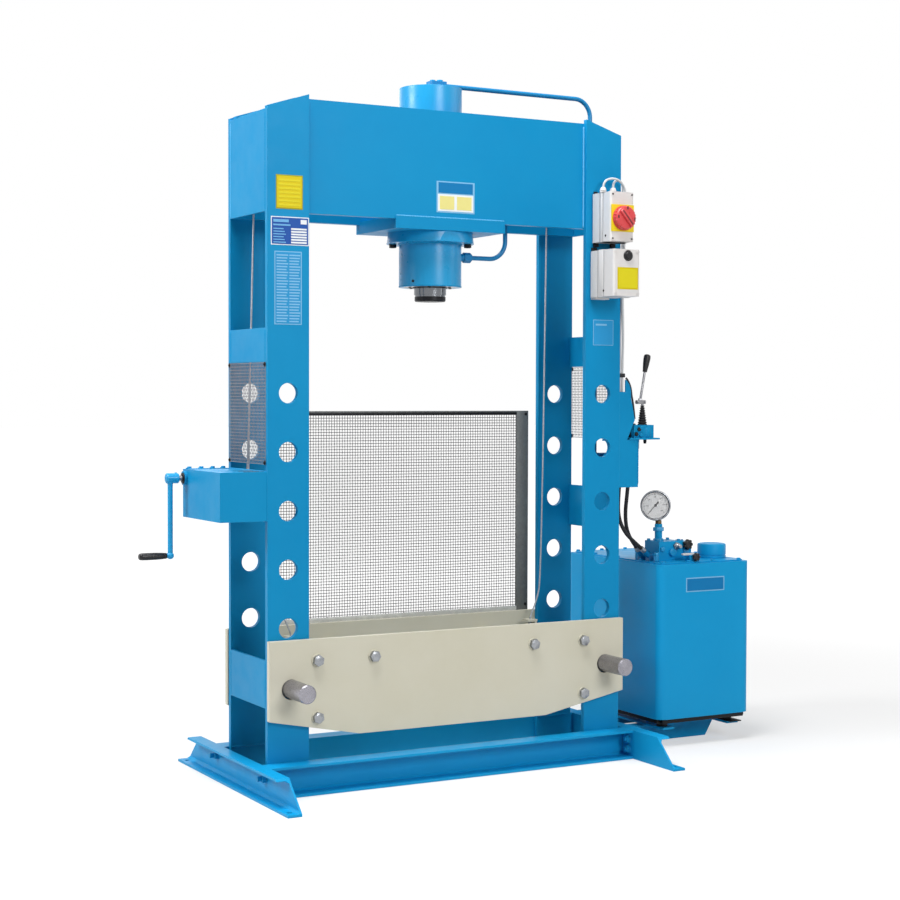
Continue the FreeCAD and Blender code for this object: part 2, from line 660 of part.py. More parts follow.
nodes = []


def keep(obj, label=None):
    """Put an object on the list of sub-parts, under its own name."""
    obj.Label = label or obj.Name
    nodes.append(obj)
    return obj


# ---------------------------------------------------------------- frame
PIN_LEVELS = 6


def column_plate(name, side, face):
    """One flat bar of a column with its row of pin holes."""
    inner, outer = "%d * half_clear" % side, "%d * column_outer" % side
    outline = [(inner, "0"), (outer, "0"), (outer, "column_top - column_drop"), (inner, "column_top")]
    body = plate(name, "XZ_Plane", outline, "column_plate", "%d * (half_depth - column_plate / 2)" % face)
    circle = new_sketch(body, "XZ_Plane", name + "_hole")
    draw_circle(circle, "%d * column_middle" % side, "hole_low", "hole_size")
    pocket = body.newObject("PartDesign::Pocket", name + "_pocket")
    pocket.Profile = circle
    pocket.Type = "ThroughAll"
    pocket.SideType = "Symmetric"
    doc.recompute()
    levels = body.newObject("PartDesign::LinearPattern", name + "_levels")
    levels.Originals = [pocket]
    levels.Direction = (circle, ["V_Axis"])
    levels.Occurrences = PIN_LEVELS
    bind(levels, "Length", "hole_pitch * %d" % (PIN_LEVELS - 1))
    body.Tip = levels
    return keep(body)


column_plate("column_plate_left_front", -1, -1)
column_plate("column_plate_left_rear", -1, 1)
column_plate("column_plate_right_front", 1, -1)
column_plate("column_plate_right_rear", 1, 1)


def batten(name, side, low, high):
    """A flat plate across a column's outer side, between its two bars."""
    near, far = "column_outer - batten_plate", "column_outer"
    left, right = (near, far) if side > 0 else ("-(%s)" % far, "-(%s)" % near)
    return box(name, left, right, "-half_inside", "half_inside", low, high)


keep(group("column_battens", [
    batten("batten_left_head", -1, "head_low", "end_plate_high"),
    batten("batten_right_head", 1, "head_low", "end_plate_high"),
    batten("batten_left_upper", -1, "upper_batten_low", "upper_batten_high"),
    batten("batten_right_upper", 1, "upper_batten_low", "upper_batten_high"),
    batten("batten_right_middle", 1, "middle_batten_low", "middle_batten_high"),
    batten("batten_left_lower", -1, "lower_batten_low", "lower_batten_high"),
    batten("batten_right_lower", 1, "lower_batten_low", "lower_batten_high"),
]))

slope = "column_drop / column_width"
head_outline = [
    ("-head_end", "head_low"), ("-mount_half_width", "head_low"), ("-mount_half_width", "mount_high"),
    ("mount_half_width", "mount_high"), ("mount_half_width", "head_low"), ("head_end", "head_low"),
    ("head_end", "head_high - head_corner * %s" % slope), ("head_end - head_corner", "head_high"),
    ("head_corner - head_end", "head_high"), ("-head_end", "head_high - head_corner * %s" % slope)]
head_front = plate("head_plate_front", "XZ_Plane", head_outline, "head_plate",
                   "-(half_inside - head_plate / 2)")
keep(group("head_plates", [head_front, mirrored("head_plate_rear", head_front, Vector(0, 1, 0))]))

mount_outline = rectangle("-mount_half_width", "mount_half_width", "-mount_half_depth",
                          "mount_half_depth")
keep(plate("cylinder_mount_plate", "XY_Plane", mount_outline, "mount_high - mount_low",
           "(mount_high + mount_low) / 2", [("0", "0", "barrel_size")]))


# ---------------------------------------------------------------- base
def channel_profile(web_at, tip_at):
    """A rolled channel's section as corners: web at one side, flanges towards the tip."""
    sign = "+" if size_of(tip_at) > size_of(web_at) else "-"
    web_in = "%s %s channel_web" % (web_at, sign)
    root = "%s %s channel_web %s channel_fillet" % (web_at, sign, sign)
    return [
        (web_at, "0"), (tip_at, "0"), (tip_at, "channel_flange"), (root, "channel_flange"),
        (web_in, "channel_flange + channel_fillet"),
        (web_in, "base_height - channel_flange - channel_fillet"),
        (root, "base_height - channel_flange"), (tip_at, "base_height - channel_flange"),
        (tip_at, "base_height"), (web_at, "base_height")]


def foot(name, side):
    """A channel on the floor with its open side outwards and both ends cut back at its top."""
    body = doc.addObject("PartDesign::Body", name)
    sketch = new_sketch(body, "XZ_Plane", name + "_section")
    draw_loop(sketch, channel_profile("%d * foot_inner" % side,
                                      "%d * (foot_inner + foot_width)" % side))
    pad = body.newObject("PartDesign::Pad", name + "_pad")
    pad.Profile = sketch
    pad.SideType = "Symmetric"
    bind(pad, "Length", "2 * foot_half_low")
    ends = new_sketch(body, "YZ_Plane", name + "_ends")
    over = "base_height + channel_fillet"
    for way in (-1, 1):
        low, high = "%d * foot_half_low" % way, "%d * foot_half_high" % way
        tip = "%d * (foot_half_low + channel_fillet)" % way
        draw_loop(ends, [(low, "channel_flange"), (tip, "channel_flange"), (tip, over),
                         (high, over), (high, "base_height")])
    trim = body.newObject("PartDesign::Pocket", name + "_trim")
    trim.Profile = ends
    trim.Type = "ThroughAll"
    trim.SideType = "Symmetric"
    holes = new_sketch(body, "XY_Plane", name + "_anchors")
    for way in (-1, 1):
        draw_circle(holes, "%d * (foot_inner + foot_width / 2 + channel_web / 2)" % side,
                    "%d * (foot_half_low - anchor_inset)" % way, "anchor_hole")
    drill = body.newObject("PartDesign::Pocket", name + "_drill")
    drill.Profile = holes
    drill.SideType = "Symmetric"
    bind(drill, "Length", "4 * channel_flange")
    return keep(body)


foot("foot_left", -1)
foot("foot_right", 1)


def base_beam(name, face):
    """A channel between the feet with its open side away from the columns."""
    body = doc.addObject("PartDesign::Body", name)
    sketch = new_sketch(body, "YZ_Plane", name + "_section")
    draw_loop(sketch, channel_profile("%d * half_depth" % face, "%d * beam_out" % face))
    pad = body.newObject("PartDesign::Pad", name + "_pad")
    pad.Profile = sketch
    pad.SideType = "Symmetric"
    bind(pad, "Length", "2 * foot_inner")
    return body


keep(group("base_beams", [base_beam("base_beam_front", -1), base_beam("base_beam_rear", 1)]))


def base_bolt(name, side, face):
    """A bolt through a foot's web into the end of a base beam."""
    turn = TURN_X if side > 0 else Rotation(Vector(0, 1, 0), -90)
    y = "%d * base_bolt_at" % face
    start = "%d * (foot_inner + channel_web)" % side
    nut = hexagon(name + "_nut", "base_bolt_flats", "base_bolt_nut", start, y, "base_bolt_high", turn)
    stud = rod(name + "_stud", "base_bolt", "base_bolt_out", start, y, "base_bolt_high", turn)
    return fuse(name, [nut, stud])


def flange_bolt(name, angle):
    """A bolt head under the cylinder's flange, on its bolt circle."""
    radius = "(flange_size / 2 + barrel_r) / 2"
    x = "%s * cos(%d)" % (radius, angle)
    y = "%s * sin(%d)" % (radius, angle)
    return hexagon(name, "flange_bolt_flats", "flange_bolt_head", x, y,
                   "flange_low - flange_bolt_head")


flange_bolts = [flange_bolt("flange_bolt_%d" % i, 30 + 60 * i) for i in range(6)]
base_bolts = [base_bolt("base_bolt_%s%s" % (a, b), side, face)
              for a, side in (("l", -1), ("r", 1)) for b, face in (("f", -1), ("b", 1))]
keep(group("frame_bolts", flange_bolts + base_bolts))

# ---------------------------------------------------------------- cylinder and ram
barrel = turned("barrel_turned", [
    ("bore_size / 2", "barrel_low"), ("barrel_r", "barrel_low"), ("barrel_r", "flange_low"),
    ("flange_size / 2", "flange_low"), ("flange_size / 2 - flange_taper", "mount_low"),
    ("barrel_r", "mount_low"), ("barrel_r", "barrel_high"), ("0", "barrel_high"),
    ("0", "bore_high"), ("bore_size / 2", "bore_high")])
flat = box("barrel_flat", "-flange_size", "flange_size", "-flange_size", "-flange_flat",
           "flange_low - flange_thick", "mount_low")
keep(cut("cylinder_barrel", barrel, flat))

keep(turned("gland_ring", [
    ("ram_size / 2 + slide_gap", "barrel_low"), ("bore_size / 2", "barrel_low"),
    ("bore_size / 2", "barrel_low + gland_height"),
    ("ram_size / 2 + slide_gap", "barrel_low + gland_height")]))

keep(turned("ram_rod", [
    ("spigot_size / 2", "ram_low"), ("ram_size / 2 - groove_depth", "ram_low"),
    ("ram_size / 2 - groove_depth", "ram_low + groove_height"),
    ("ram_size / 2", "ram_low + groove_height"), ("ram_size / 2", "ram_high - piston_height"),
    ("bore_size / 2 - slide_gap", "ram_high - piston_height"),
    ("bore_size / 2 - slide_gap", "ram_high"), ("0", "ram_high"),
    ("0", "ram_low + spigot_height"), ("spigot_size / 2", "ram_low + spigot_height")]))

keep(turned("ram_nose", [
    ("0", "ram_low - nose_height"), ("nose_size / 2 - nose_bevel", "ram_low - nose_height"),
    ("nose_size / 2", "ram_low - nose_height + nose_bevel"), ("nose_size / 2", "ram_low"),
    ("spigot_size / 2", "ram_low"), ("spigot_size / 2", "ram_low + spigot_height"),
    ("0", "ram_low + spigot_height")]))


# ---------------------------------------------------------------- bed
def bed_plate(name, face):
    """A bed plate with its rising ends, its pin holes and its bolt holes."""
    outline = [
        ("-bed_taper", "bed_low"), ("bed_taper", "bed_low"), ("bed_half", "bed_end_low"),
        ("bed_half", "bed_high"), ("-bed_half", "bed_high"), ("-bed_half", "bed_end_low")]
    hole = "bolt_size + 2 * bolt_clear"
    holes = []
    for side in (-1, 1):
        holes.append(("%d * column_middle" % side, "bed_hole_high", "hole_size"))
        holes.append(("%d * bolt_out" % side, "bolt_high", hole))
        holes.append(("%d * bolt_out" % side, "bolt_low", hole))
        holes.append(("%d * bolt_in" % side, "bolt_high", hole))
    return keep(plate(name, "XZ_Plane", outline, "bed_plate",
                      "%d * (bed_inside + bed_plate / 2)" % face, holes))


bed_plate("bed_plate_front", -1)
bed_plate("bed_plate_rear", 1)

BED_BOLTS = [(side, x, z) for side in (-1, 1)
             for x, z in (("bolt_out", "bolt_high"), ("bolt_out", "bolt_low"), ("bolt_in", "bolt_high"))]


def spacer(name, x, z):
    """A tube between the bed plates, around one bolt."""
    inside = "bolt_size / 2 + bolt_clear"
    return turned(name, [
        (inside, "-bed_inside"), ("spacer_size / 2", "-bed_inside"),
        ("spacer_size / 2", "bed_inside"), (inside, "bed_inside")], x, "0", z, TURN_Y)


def rope_lug(name, side, rope):
    """A lug on an upper spacer, with a hole that the rope passes through."""
    left = "%d * lug_at - lug_wide / 2" % side
    right = "%d * lug_at + lug_wide / 2" % side
    front, back = rope + " - lug_wide / 2", rope + " + lug_wide / 2"
    shelf = box(name + "_shelf", left, right, front, back, "lug_high - lug_thick", "lug_high")
    near, far = "bolt_out - spacer_size / 2 - lug_thick * 3 / 4", "bolt_out - spacer_size / 2 + lug_thick / 4"
    web_left, web_right = (near, far) if side > 0 else ("-(%s)" % far, "-(%s)" % near)
    web = box(name + "_web", web_left, web_right, front, back, "bolt_high", "lug_high - lug_thick")
    bore = rod(name + "_bore", "lug_hole", "4 * lug_thick", "%d * lug_at" % side, rope,
               "lug_high - 2 * lug_thick")
    return cut(name, fuse(name + "_solid", [shelf, web]), bore)


spacers = []
for number, (side, x, z) in enumerate(BED_BOLTS):
    one = spacer("spacer_%d" % number, "%d * %s" % (side, x), z)
    if (x, z) == ("bolt_out", "bolt_high"):
        rope = "rope_left" if side < 0 else "rope_right"
        lug = rope_lug("lug_%d" % number, side, rope)
        one = fuse("spacer_with_lug_%d" % number, [one, lug])
    spacers.append(one)
keep(group("bed_spacers", spacers))


def bed_bolt(name, x, z):
    """A through bolt with its head in front, its nut behind and a washer at each end."""
    front = "-(bed_outside + washer_thick)"
    head = hexagon(name + "_head", "bolt_flats", "bolt_head", x, front + " - bolt_head", z, TURN_Y)
    shank = rod(name + "_shank", "bolt_size", "2 * (bed_outside + washer_thick + bolt_head)",
                x, front + " - bolt_head / 2", z, TURN_Y)
    nut = hexagon(name + "_nut", "bolt_flats", "bolt_head", x, "bed_outside + washer_thick", z, TURN_Y)
    before = rod(name + "_before", "washer_size", "washer_thick", x, front, z, TURN_Y)
    behind = rod(name + "_behind", "washer_size", "washer_thick", x, "bed_outside", z, TURN_Y)
    return fuse(name, [head, shank, nut, before, behind])


keep(group("bed_bolts", [bed_bolt("bed_bolt_%d" % number, "%d * %s" % (side, x), z)
                         for number, (side, x, z) in enumerate(BED_BOLTS)]))


def bed_pin(name, side):
    """A loose steel pin through the column and the bed, with bevelled ends."""
    return keep(turned(name, [
        ("0", "-pin_front"), ("pin_size / 2 - pin_bevel", "-pin_front"),
        ("pin_size / 2", "-pin_front + pin_bevel"), ("pin_size / 2", "pin_back - pin_bevel"),
        ("pin_size / 2 - pin_bevel", "pin_back"), ("0", "pin_back")],
        "%d * column_middle" % side, "0", "pin_high", TURN_Y))


bed_pin("pin_left", -1)
bed_pin("pin_right", 1)

# ---------------------------------------------------------------- guards

def guard_post(name, side):
    """A flat bar on the bed's rear plate that carries the mesh."""
    near, far = "guard_post_in", "guard_post_in + guard_post_wide"
    left, right = (near, far) if side > 0 else ("-(%s)" % far, "-(%s)" % near)
    return box(name, left, right, "bed_outside", "bed_outside + guard_post_thick",
               "guard_post_low", "guard_high")


guard_bar = box("guard_bar", "-guard_post_in", "guard_post_in", "bed_outside",
                "bed_outside + guard_post_thick", "guard_high - guard_bar", "guard_high")
keep(group("rear_guard_frame", [guard_post("guard_post_left", -1), guard_post("guard_post_right", 1),
                                guard_bar]))

rear_net = feature("rear_guard_mesh", net(
    size_of("2 * guard_post_in"), size_of("guard_high - guard_bar - mesh_low"),
    size_of("rear_mesh_pitch"), size_of("guard_wire"), size_of("guard_wire")))
place(rear_net, "-guard_post_in", "bed_outside", "mesh_low")
keep(rear_net)


def side_guard(name, side, low):
    """A flat mesh over the open outer side of a column."""
    mesh = feature(name, net(
        size_of("2 * side_mesh_half"), size_of("side_mesh_high - (%s)" % low),
        size_of("side_mesh_pitch"), size_of("guard_wire"), size_of("guard_wire")))
    turn = Rotation(Vector(0, 0, 1), 90)
    x = "column_outer + guard_wire" if side > 0 else "-column_outer"
    return place(mesh, x, "-side_mesh_half", low, turn)


keep(group("side_guards", [side_guard("side_guard_left", -1, "left_mesh_low"),
                           side_guard("side_guard_right", 1, "right_mesh_low")]))

# ---------------------------------------------------------------- winch
shell = box("winch_shell", "-winch_out", "-column_outer", "-half_depth", "half_depth",
            "winch_low", "winch_high")
room = box("winch_room", "-(winch_out - winch_sheet)", "-column_outer + winch_sheet",
           "-(half_depth - winch_sheet)", "half_depth - winch_sheet",
           "winch_low + winch_sheet", "winch_high - winch_sheet")
slots = [box("winch_slot_%d" % i, "-winch_out + slot_wide / 4", "-winch_out + slot_wide * 5 / 4",
             "-slot_front + %d * 3 * slot_deep" % i, "-slot_front + slot_deep * (1 + 3 * %d)" % i,
             "winch_high - 2 * winch_sheet", "winch_high + winch_sheet") for i in range(3)]
boss = rod("winch_disc", "disc_size", "disc_thick", "-winch_out - disc_thick", "crank_back",
           "crank_high", TURN_X)
shaft_bore = rod("winch_bore", "shaft_size + 2 * slide_gap", "4 * disc_thick",
                 "-winch_out - 2 * disc_thick", "crank_back", "crank_high", TURN_X)
hollow = cut("winch_hollow", shell, fuse("winch_inside", [room] + slots))
keep(cut("winch_housing", fuse("winch_body", [hollow, boss]), shaft_bore))

# The reduction gear is a closed casting: the crank shaft goes in at its left, the drum's shaft
# comes out at its front.
case = box("gearbox_case", "-gearbox_out", "-column_outer", "gearbox_front", "half_depth - winch_sheet",
           "gearbox_low", "gearbox_high")
crank_socket = rod("gearbox_crank_socket", "shaft_size + 2 * slide_gap", "gearbox_out - drum_at",
                   "-gearbox_out", "crank_back", "crank_high", TURN_X)
drum_socket = rod("gearbox_drum_socket", "drum_shaft + 2 * slide_gap", "crank_back - gearbox_front",
                  "-drum_at", "gearbox_front", "drum_high", TURN_Y)
keep(cut("winch_gearbox", case, fuse("gearbox_sockets", [crank_socket, drum_socket])))

keep(rod("crank_shaft", "shaft_size", "hub_out - drum_at - 2 * slide_gap", "-hub_out",
         "crank_back", "crank_high", TURN_X))

hub = rod("crank_hub", "hub_size", "hub_out - hub_in", "-hub_out", "crank_back", "crank_high", TURN_X)
arm = rod("crank_bar", "arm_size", "crank_throw", "-arm_at", "crank_back", "crank_high - crank_throw")
eye = doc.addObject("Part::Sphere", "crank_eye")
bind(eye, "Radius", "eye_size / 2")
place(eye, "-arm_at", "crank_back", "crank_high - crank_throw")
spindle = rod("crank_spindle", "spindle_size", "grip_in + grip_length - grip_wall - slide_gap - arm_at",
              "-(grip_in + grip_length - grip_wall - slide_gap)", "crank_back",
              "crank_high - crank_throw", TURN_X)
hub_bore = rod("crank_hub_bore", "shaft_size", "hub_out - hub_in", "-hub_out", "crank_back",
               "crank_high", TURN_X)
keep(cut("crank_arm", fuse("crank_forging", [hub, arm, eye, spindle]), hub_bore))

keep(turned("crank_grip", [
    ("0", "0"), ("grip_size / 3", "0"), ("grip_size / 2", "grip_wall"),
    ("grip_size / 2", "grip_length * 3 / 4"), ("grip_size * 0.42", "grip_length"),
    ("spindle_size / 2 + slide_gap", "grip_length"), ("spindle_size / 2 + slide_gap", "grip_wall"),
    ("0", "grip_wall")],
    "-(grip_in + grip_length)", "crank_back", "crank_high - crank_throw", TURN_X))

# The drum carries the ropes' wound turns as rounded ridges on its core.
WOUND_TURNS = 4


def drum_profile():
    """The drum's half section: flanges, core and a ridge for each wound turn of rope."""
    core, wall = size_of("(drum_core + rope_size) / 2"), size_of("drum_wall")
    front, back = size_of("drum_front"), size_of("drum_back")
    rope, shaft = size_of("rope_size"), size_of("drum_shaft / 2")
    start, pitch = front + wall, size_of("turn_pitch")
    edges = []
    here = Vector(core, 0, start)
    for turn in range(WOUND_TURNS):
        low = start + turn * pitch + (pitch - rope) / 2
        foot, tip = Vector(core, 0, low), Vector(core + rope / 2, 0, low + rope / 2)
        top = Vector(core, 0, low + rope)
        edges.append(Part.LineSegment(here, foot).toShape())
        edges.append(Part.Arc(foot, tip, top).toShape())
        here = top
    flange, end = size_of("drum_flange / 2"), size_of("crank_back - slide_gap * 2")
    corners = [here, Vector(core, 0, back - wall), Vector(flange, 0, back - wall),
               Vector(flange, 0, back), Vector(shaft, 0, back), Vector(shaft, 0, end),
               Vector(0, 0, end), Vector(0, 0, front), Vector(flange, 0, front),
               Vector(flange, 0, start), Vector(core, 0, start)]
    for first, second in zip(corners, corners[1:]):
        edges.append(Part.LineSegment(first, second).toShape())
    return Part.Face(Part.Wire(edges))


drum = feature("winch_drum", drum_profile().revolve(Vector(), Vector(0, 0, 1), 360))
place(drum, "-drum_at", "0", "drum_high", TURN_Y)
keep(drum)


# ---------------------------------------------------------------- pulleys and ropes
def pulley(name, x, y, z):
    """A grooved pulley on an axle that runs front to back."""
    rim, root = "pulley_size / 2", "pulley_pitch - rope_size / 2 - slide_gap"
    bore, half = "pulley_bore / 2 + slide_gap", "pulley_wide / 2"
    floor, mouth = "(rope_size + turn_gap) / 2", "(pulley_wide / 2 - 2 * slide_gap)"
    return turned(name, [
        (bore, "-" + half), (rim, "-" + half), (rim, "-" + mouth), (root, "-" + floor),
        (root, floor), (rim, mouth), (rim, half), (bore, half)], x, y, z, TURN_Y)


keep(group("guide_pulleys", [pulley("guide_pulley_a", "-guide_at", "guide_left", "guide_high"),
                             pulley("guide_pulley_b", "-guide_at", "guide_right", "guide_high")]))
keep(group("top_pulleys_left", [
    pulley("top_pulley_a", "-left_pulley_at", "rope_left", "top_pulley_high"),
    pulley("top_pulley_b", "-left_pulley_at", "rope_right", "top_pulley_high")]))
keep(pulley("top_pulley_right", "right_pulley_at", "rope_right", "top_pulley_high"))

keep(group("pulley_axles", [
    rod("guide_axle", "pulley_bore", "gearbox_front - (guide_left - pulley_wide)",
        "-guide_at", "guide_left - pulley_wide", "guide_high", TURN_Y),
    rod("top_axle_left", "pulley_bore", "2 * head_inside", "-left_pulley_at", "-head_inside",
        "top_pulley_high", TURN_Y),
    rod("top_axle_right", "pulley_bore", "2 * head_inside", "right_pulley_at", "-head_inside",
        "top_pulley_high", TURN_Y)]))


def spot(x, y, z):
    """A point whose coordinates are formulas."""
    return Vector(size_of(x), size_of(y), size_of(z))


def tangent_x(hub, radius, side, point, height):
    """Where the line from a point past one side of a pulley is at a height, seen from the front."""
    ahead = hub - point
    lean = math.atan2(ahead.x, ahead.z) + side * math.asin(radius / math.hypot(ahead.x, ahead.z))
    return point.x + (height - point.z) * math.tan(lean)


def rope_end(name, points, radii):
    """A rope with the pressed ferrule on its free end, under the bed's lug."""
    line = tube(points, radii, size_of("rope_size"))
    down = (points[-1] - points[-2]).normalize()
    sleeve = Part.makeCylinder(size_of("ferrule_size / 2"), size_of("ferrule_length"), points[-1], down)
    return feature(name, line.fuse(sleeve))


def bed_rope(name, side, low, high, hub):
    """A rope from the drum round the guide pulley and the upper pulleys to the bed."""
    bend = size_of("pulley_pitch")
    guide, left = spot("-guide_at", low, "guide_high"), spot("-left_pulley_at", high, "top_pulley_high")
    run, top = size_of("rope_run"), size_of("rope_top")
    middle = (guide + left) * 0.5
    falling = spot("%d * drop_low" % side, high, "drop_low_high")
    corners = [
        spot("-rope_start", low, "rope_run"),
        Vector(tangent_x(left, bend, -1, middle, run), size_of(low), run),
        Vector(tangent_x(left, bend, -1, middle, top), size_of(high), top),
        Vector(tangent_x(hub, bend, 1, falling, top), size_of(high), top),
        falling, spot("%d * drop_bend" % side, high, "drop_bend_high"),
        spot("%d * lug_at" % side, high, "lug_high + lug_thick"),
        spot("%d * lug_at" % side, high, "lug_high - lug_thick - slide_gap")]
    over = bend - size_of("rope_size / 8")
    return rope_end(name, corners, [bend, over, over, size_of("rope_size * 30"),
                                    size_of("rope_size * 20"), size_of("rope_size * 2")])


keep(group("wire_ropes", [
    bed_rope("wire_rope_left", -1, "guide_left", "rope_left",
             spot("-left_pulley_at", "rope_left", "top_pulley_high")),
    bed_rope("wire_rope_right", 1, "guide_right", "rope_right",
             spot("right_pulley_at", "rope_right", "top_pulley_high"))]))

# ---------------------------------------------------------------- electric boxes
def rounded_box(name, left, wide, deep, low, high):
    """A closed box on the column's front with rounded upright edges."""
    block = box(name + "_block", left, "%s + %s" % (left, wide), "-(half_depth + %s)" % deep,
                "-half_depth", low, high)
    doc.recompute()
    rounded = doc.addObject("Part::Fillet", name)
    rounded.Base = block
    upright = [i for i, edge in enumerate(block.Shape.Edges, start=1)
               if abs(edge.tangentAt(edge.FirstParameter).z) > 0.9]
    rounded.Edges = [(i, size_of("box_round"), size_of("box_round")) for i in upright]
    return rounded


isolator_front = "-(half_depth + isolator_deep)"
isolator_middle = "isolator_left + isolator_wide / 2"
isolator_shaft_bore = rod("isolator_shaft_bore", "spindle_wide + 2 * slide_gap", "2 * spindle_reach",
                          isolator_middle, isolator_front + " - knob_plate_thick", "knob_high", TURN_Y)
keep(cut("isolator_box", rounded_box("isolator_case", "isolator_left", "isolator_wide",
                                     "isolator_deep", "isolator_low", "isolator_high"),
         isolator_shaft_bore))
plate_front = isolator_front + " - knob_plate_thick"
isolator_square = box("isolator_square", isolator_middle + " - knob_plate / 2",
                      isolator_middle + " + knob_plate / 2", plate_front, isolator_front,
                      "knob_high - knob_plate / 2", "knob_high + knob_plate / 2")
keep(cut("isolator_plate", isolator_square,
         rod("isolator_plate_bore", "spindle_wide + 2 * slide_gap", "2 * spindle_reach",
             isolator_middle, plate_front + " - knob_plate_thick", "knob_high", TURN_Y)))

# The knob: a shallow round body with a bridge across its face and its spindle behind.
knob_back = plate_front + " - slide_gap"
knob_disc = turned("knob_disc", [
    ("0", "-knob_thick"), ("knob_size / 2 - knob_thick / 6", "-knob_thick"),
    ("knob_size / 2", "-knob_thick * 5 / 6"), ("knob_size / 2", "0"),
    ("spindle_wide / 2", "0"), ("spindle_wide / 2", "spindle_reach"), ("0", "spindle_reach")],
    isolator_middle, knob_back, "knob_high", TURN_Y)
bridge = box("knob_bridge_bar", isolator_middle + " - knob_bridge_wide / 2",
             isolator_middle + " + knob_bridge_wide / 2",
             knob_back + " - knob_thick - knob_bridge", knob_back + " - knob_thick",
             "knob_high - knob_size * 0.42", "knob_high + knob_size * 0.42")
keep(fuse("isolator_knob", [knob_disc, bridge]))

box_front = "-(half_depth + box_deep)"
well = rod("button_well", "button_size + 2 * slide_gap", "button_travel * 4", "button_at",
           box_front + " - button_travel", "button_high", TURN_Y)
collar = rod("button_collar_ring", "button_collar", "collar_out", "button_at",
             box_front + " - collar_out", "button_high", TURN_Y)
box_case = rounded_box("control_case", "box_left", "box_wide", "box_deep", "box_low", "box_high")
keep(cut("control_box", fuse("control_case_collar", [box_case, collar]), well))
keep(rod("push_button", "button_size", "button_out + button_travel", "button_at",
         box_front + " - button_out", "button_high", TURN_Y))


def cable_gland(name, x):
    """A domed cable gland on top of the isolator box, with the cable's bore."""
    return turned(name, [
        ("cable_size / 2", "0"), ("gland_size / 2", "0"), ("gland_size / 2", "gland_high / 2"),
        ("gland_size * 0.42", "gland_high * 0.6"), ("gland_size * 0.36", "gland_high"),
        ("cable_size / 2", "gland_high")], x, "-gland_front", "isolator_high")


entry_front, entry_right = "bracket_sheet - half_depth", "column_outer + 2 * cable_edge + cable_apart"
entry_block = box("cable_entry_block", "column_outer + guard_wire", entry_right, entry_front,
                  entry_front + " + gland_size", "stand_high", "stand_high + gland_high")
clip_block = box("cable_clip_block", "column_outer + guard_wire", entry_right,
                 "-cable_front - clip_size / 2", "-cable_front + clip_size / 2",
                 "clip_high - clip_size / 2", "clip_high + clip_size / 2")


def cable_bores(name, low, high):
    """The bores of both cables through a clip or an entry."""
    return fuse(name, [rod("%s_%d" % (name, i), "cable_size + 2 * slide_gap", "(%s) - (%s)" % (high, low),
                           "cable_at + %d * cable_apart" % i, "-cable_front", low) for i in range(2)])


keep(group("cable_glands", [
    cable_gland("gland_a", "gland_left"), cable_gland("gland_b", "gland_right"),
    cut("cable_entry", entry_block, cable_bores("entry_bores", "stand_high", "stand_high + 2 * gland_high")),
    cut("cable_clip", clip_block, cable_bores("clip_bores", "clip_high - clip_size",
                                              "clip_high + clip_size"))]))

# The cables leave their glands upright and bend over the box's side. Their points are chosen by
# eye; the straight stretch down the column's edge is held by the clip and the entry.
LEFT_CABLE = [(1, -1, 24), (18, -5, 42), (46, -8, 46), (74, -8, 34), (90, -5, 4), (94, 2, -50),
              (100, 8, -130), (109, 20, -212), (115, 32, -292), (118, 44, -372)]
RIGHT_CABLE = [(0, 2, 25), (16, 8, 41), (38, 15, 41), (54, 22, 24), (55, 27, -18), (61, 31, -90),
               (67, 38, -190), (69, 46, -290)]
cables = []
for name, gland, steps, lane, held in (("cable_left", "gland_left", LEFT_CABLE, 1, -452),
                                       ("cable_right", "gland_right", RIGHT_CABLE, 0, -370)):
    top = spot(gland, "-gland_front", "isolator_high + gland_high")
    edge = spot("cable_at + %d * cable_apart" % lane, "-cable_front", "stand_high")
    points = [top] + [top + Vector(*step) for step in steps]
    points += [Vector(edge.x, edge.y, top.z + held), edge]
    cables.append(feature(name, cord(name, points, size_of("cable_size"))))
keep(group("cables", cables))

# ---------------------------------------------------------------- valve
back_plate = plate("valve_back_plate", "XZ_Plane", [
    ("column_outer", "stand_high"), ("column_outer + bracket_wide / 2", "stand_high"),
    ("column_outer + bracket_wide", "bracket_neck"),
    ("column_outer + bracket_top_wide", "bracket_high - bracket_wide / 3"),
    ("column_outer + bracket_top_wide", "bracket_high"), ("column_outer", "bracket_high")],
    "bracket_sheet", "-(half_depth - bracket_sheet / 2)")
stand = box("valve_stand_block", "column_outer", "column_outer + stand_wide", "-half_depth",
            "stand_deep - half_depth", "stand_low", "stand_high")
stand_room = box("valve_stand_room", "column_outer", "column_outer + stand_wide - bracket_sheet",
                 "bracket_sheet - half_depth", "stand_deep - half_depth",
                 "stand_low", "stand_high - bracket_sheet")
shelf = box("valve_shelf", "shelf_left", "shelf_right", "-(valve_front + shelf_half)",
            "-(valve_front - shelf_half)", "stand_high", "stand_high + shelf_thick")
keep(fuse("valve_bracket", [back_plate, cut("valve_stand", stand, stand_room), shelf]))

valve_low = "stand_high + shelf_thick"
valve_block = box("valve_block", "valve_left", "valve_right", "-(valve_front + valve_half)",
                  "-(valve_front - valve_half)", valve_low, "valve_high")
lever_well = rod("valve_well", "ball_size + 2 * slide_gap", "valve_high - ball_high + ball_size",
                 "lever_at", "-valve_front", "ball_high - ball_size / 2 - slide_gap")
keep(cut("valve_body", valve_block, lever_well))

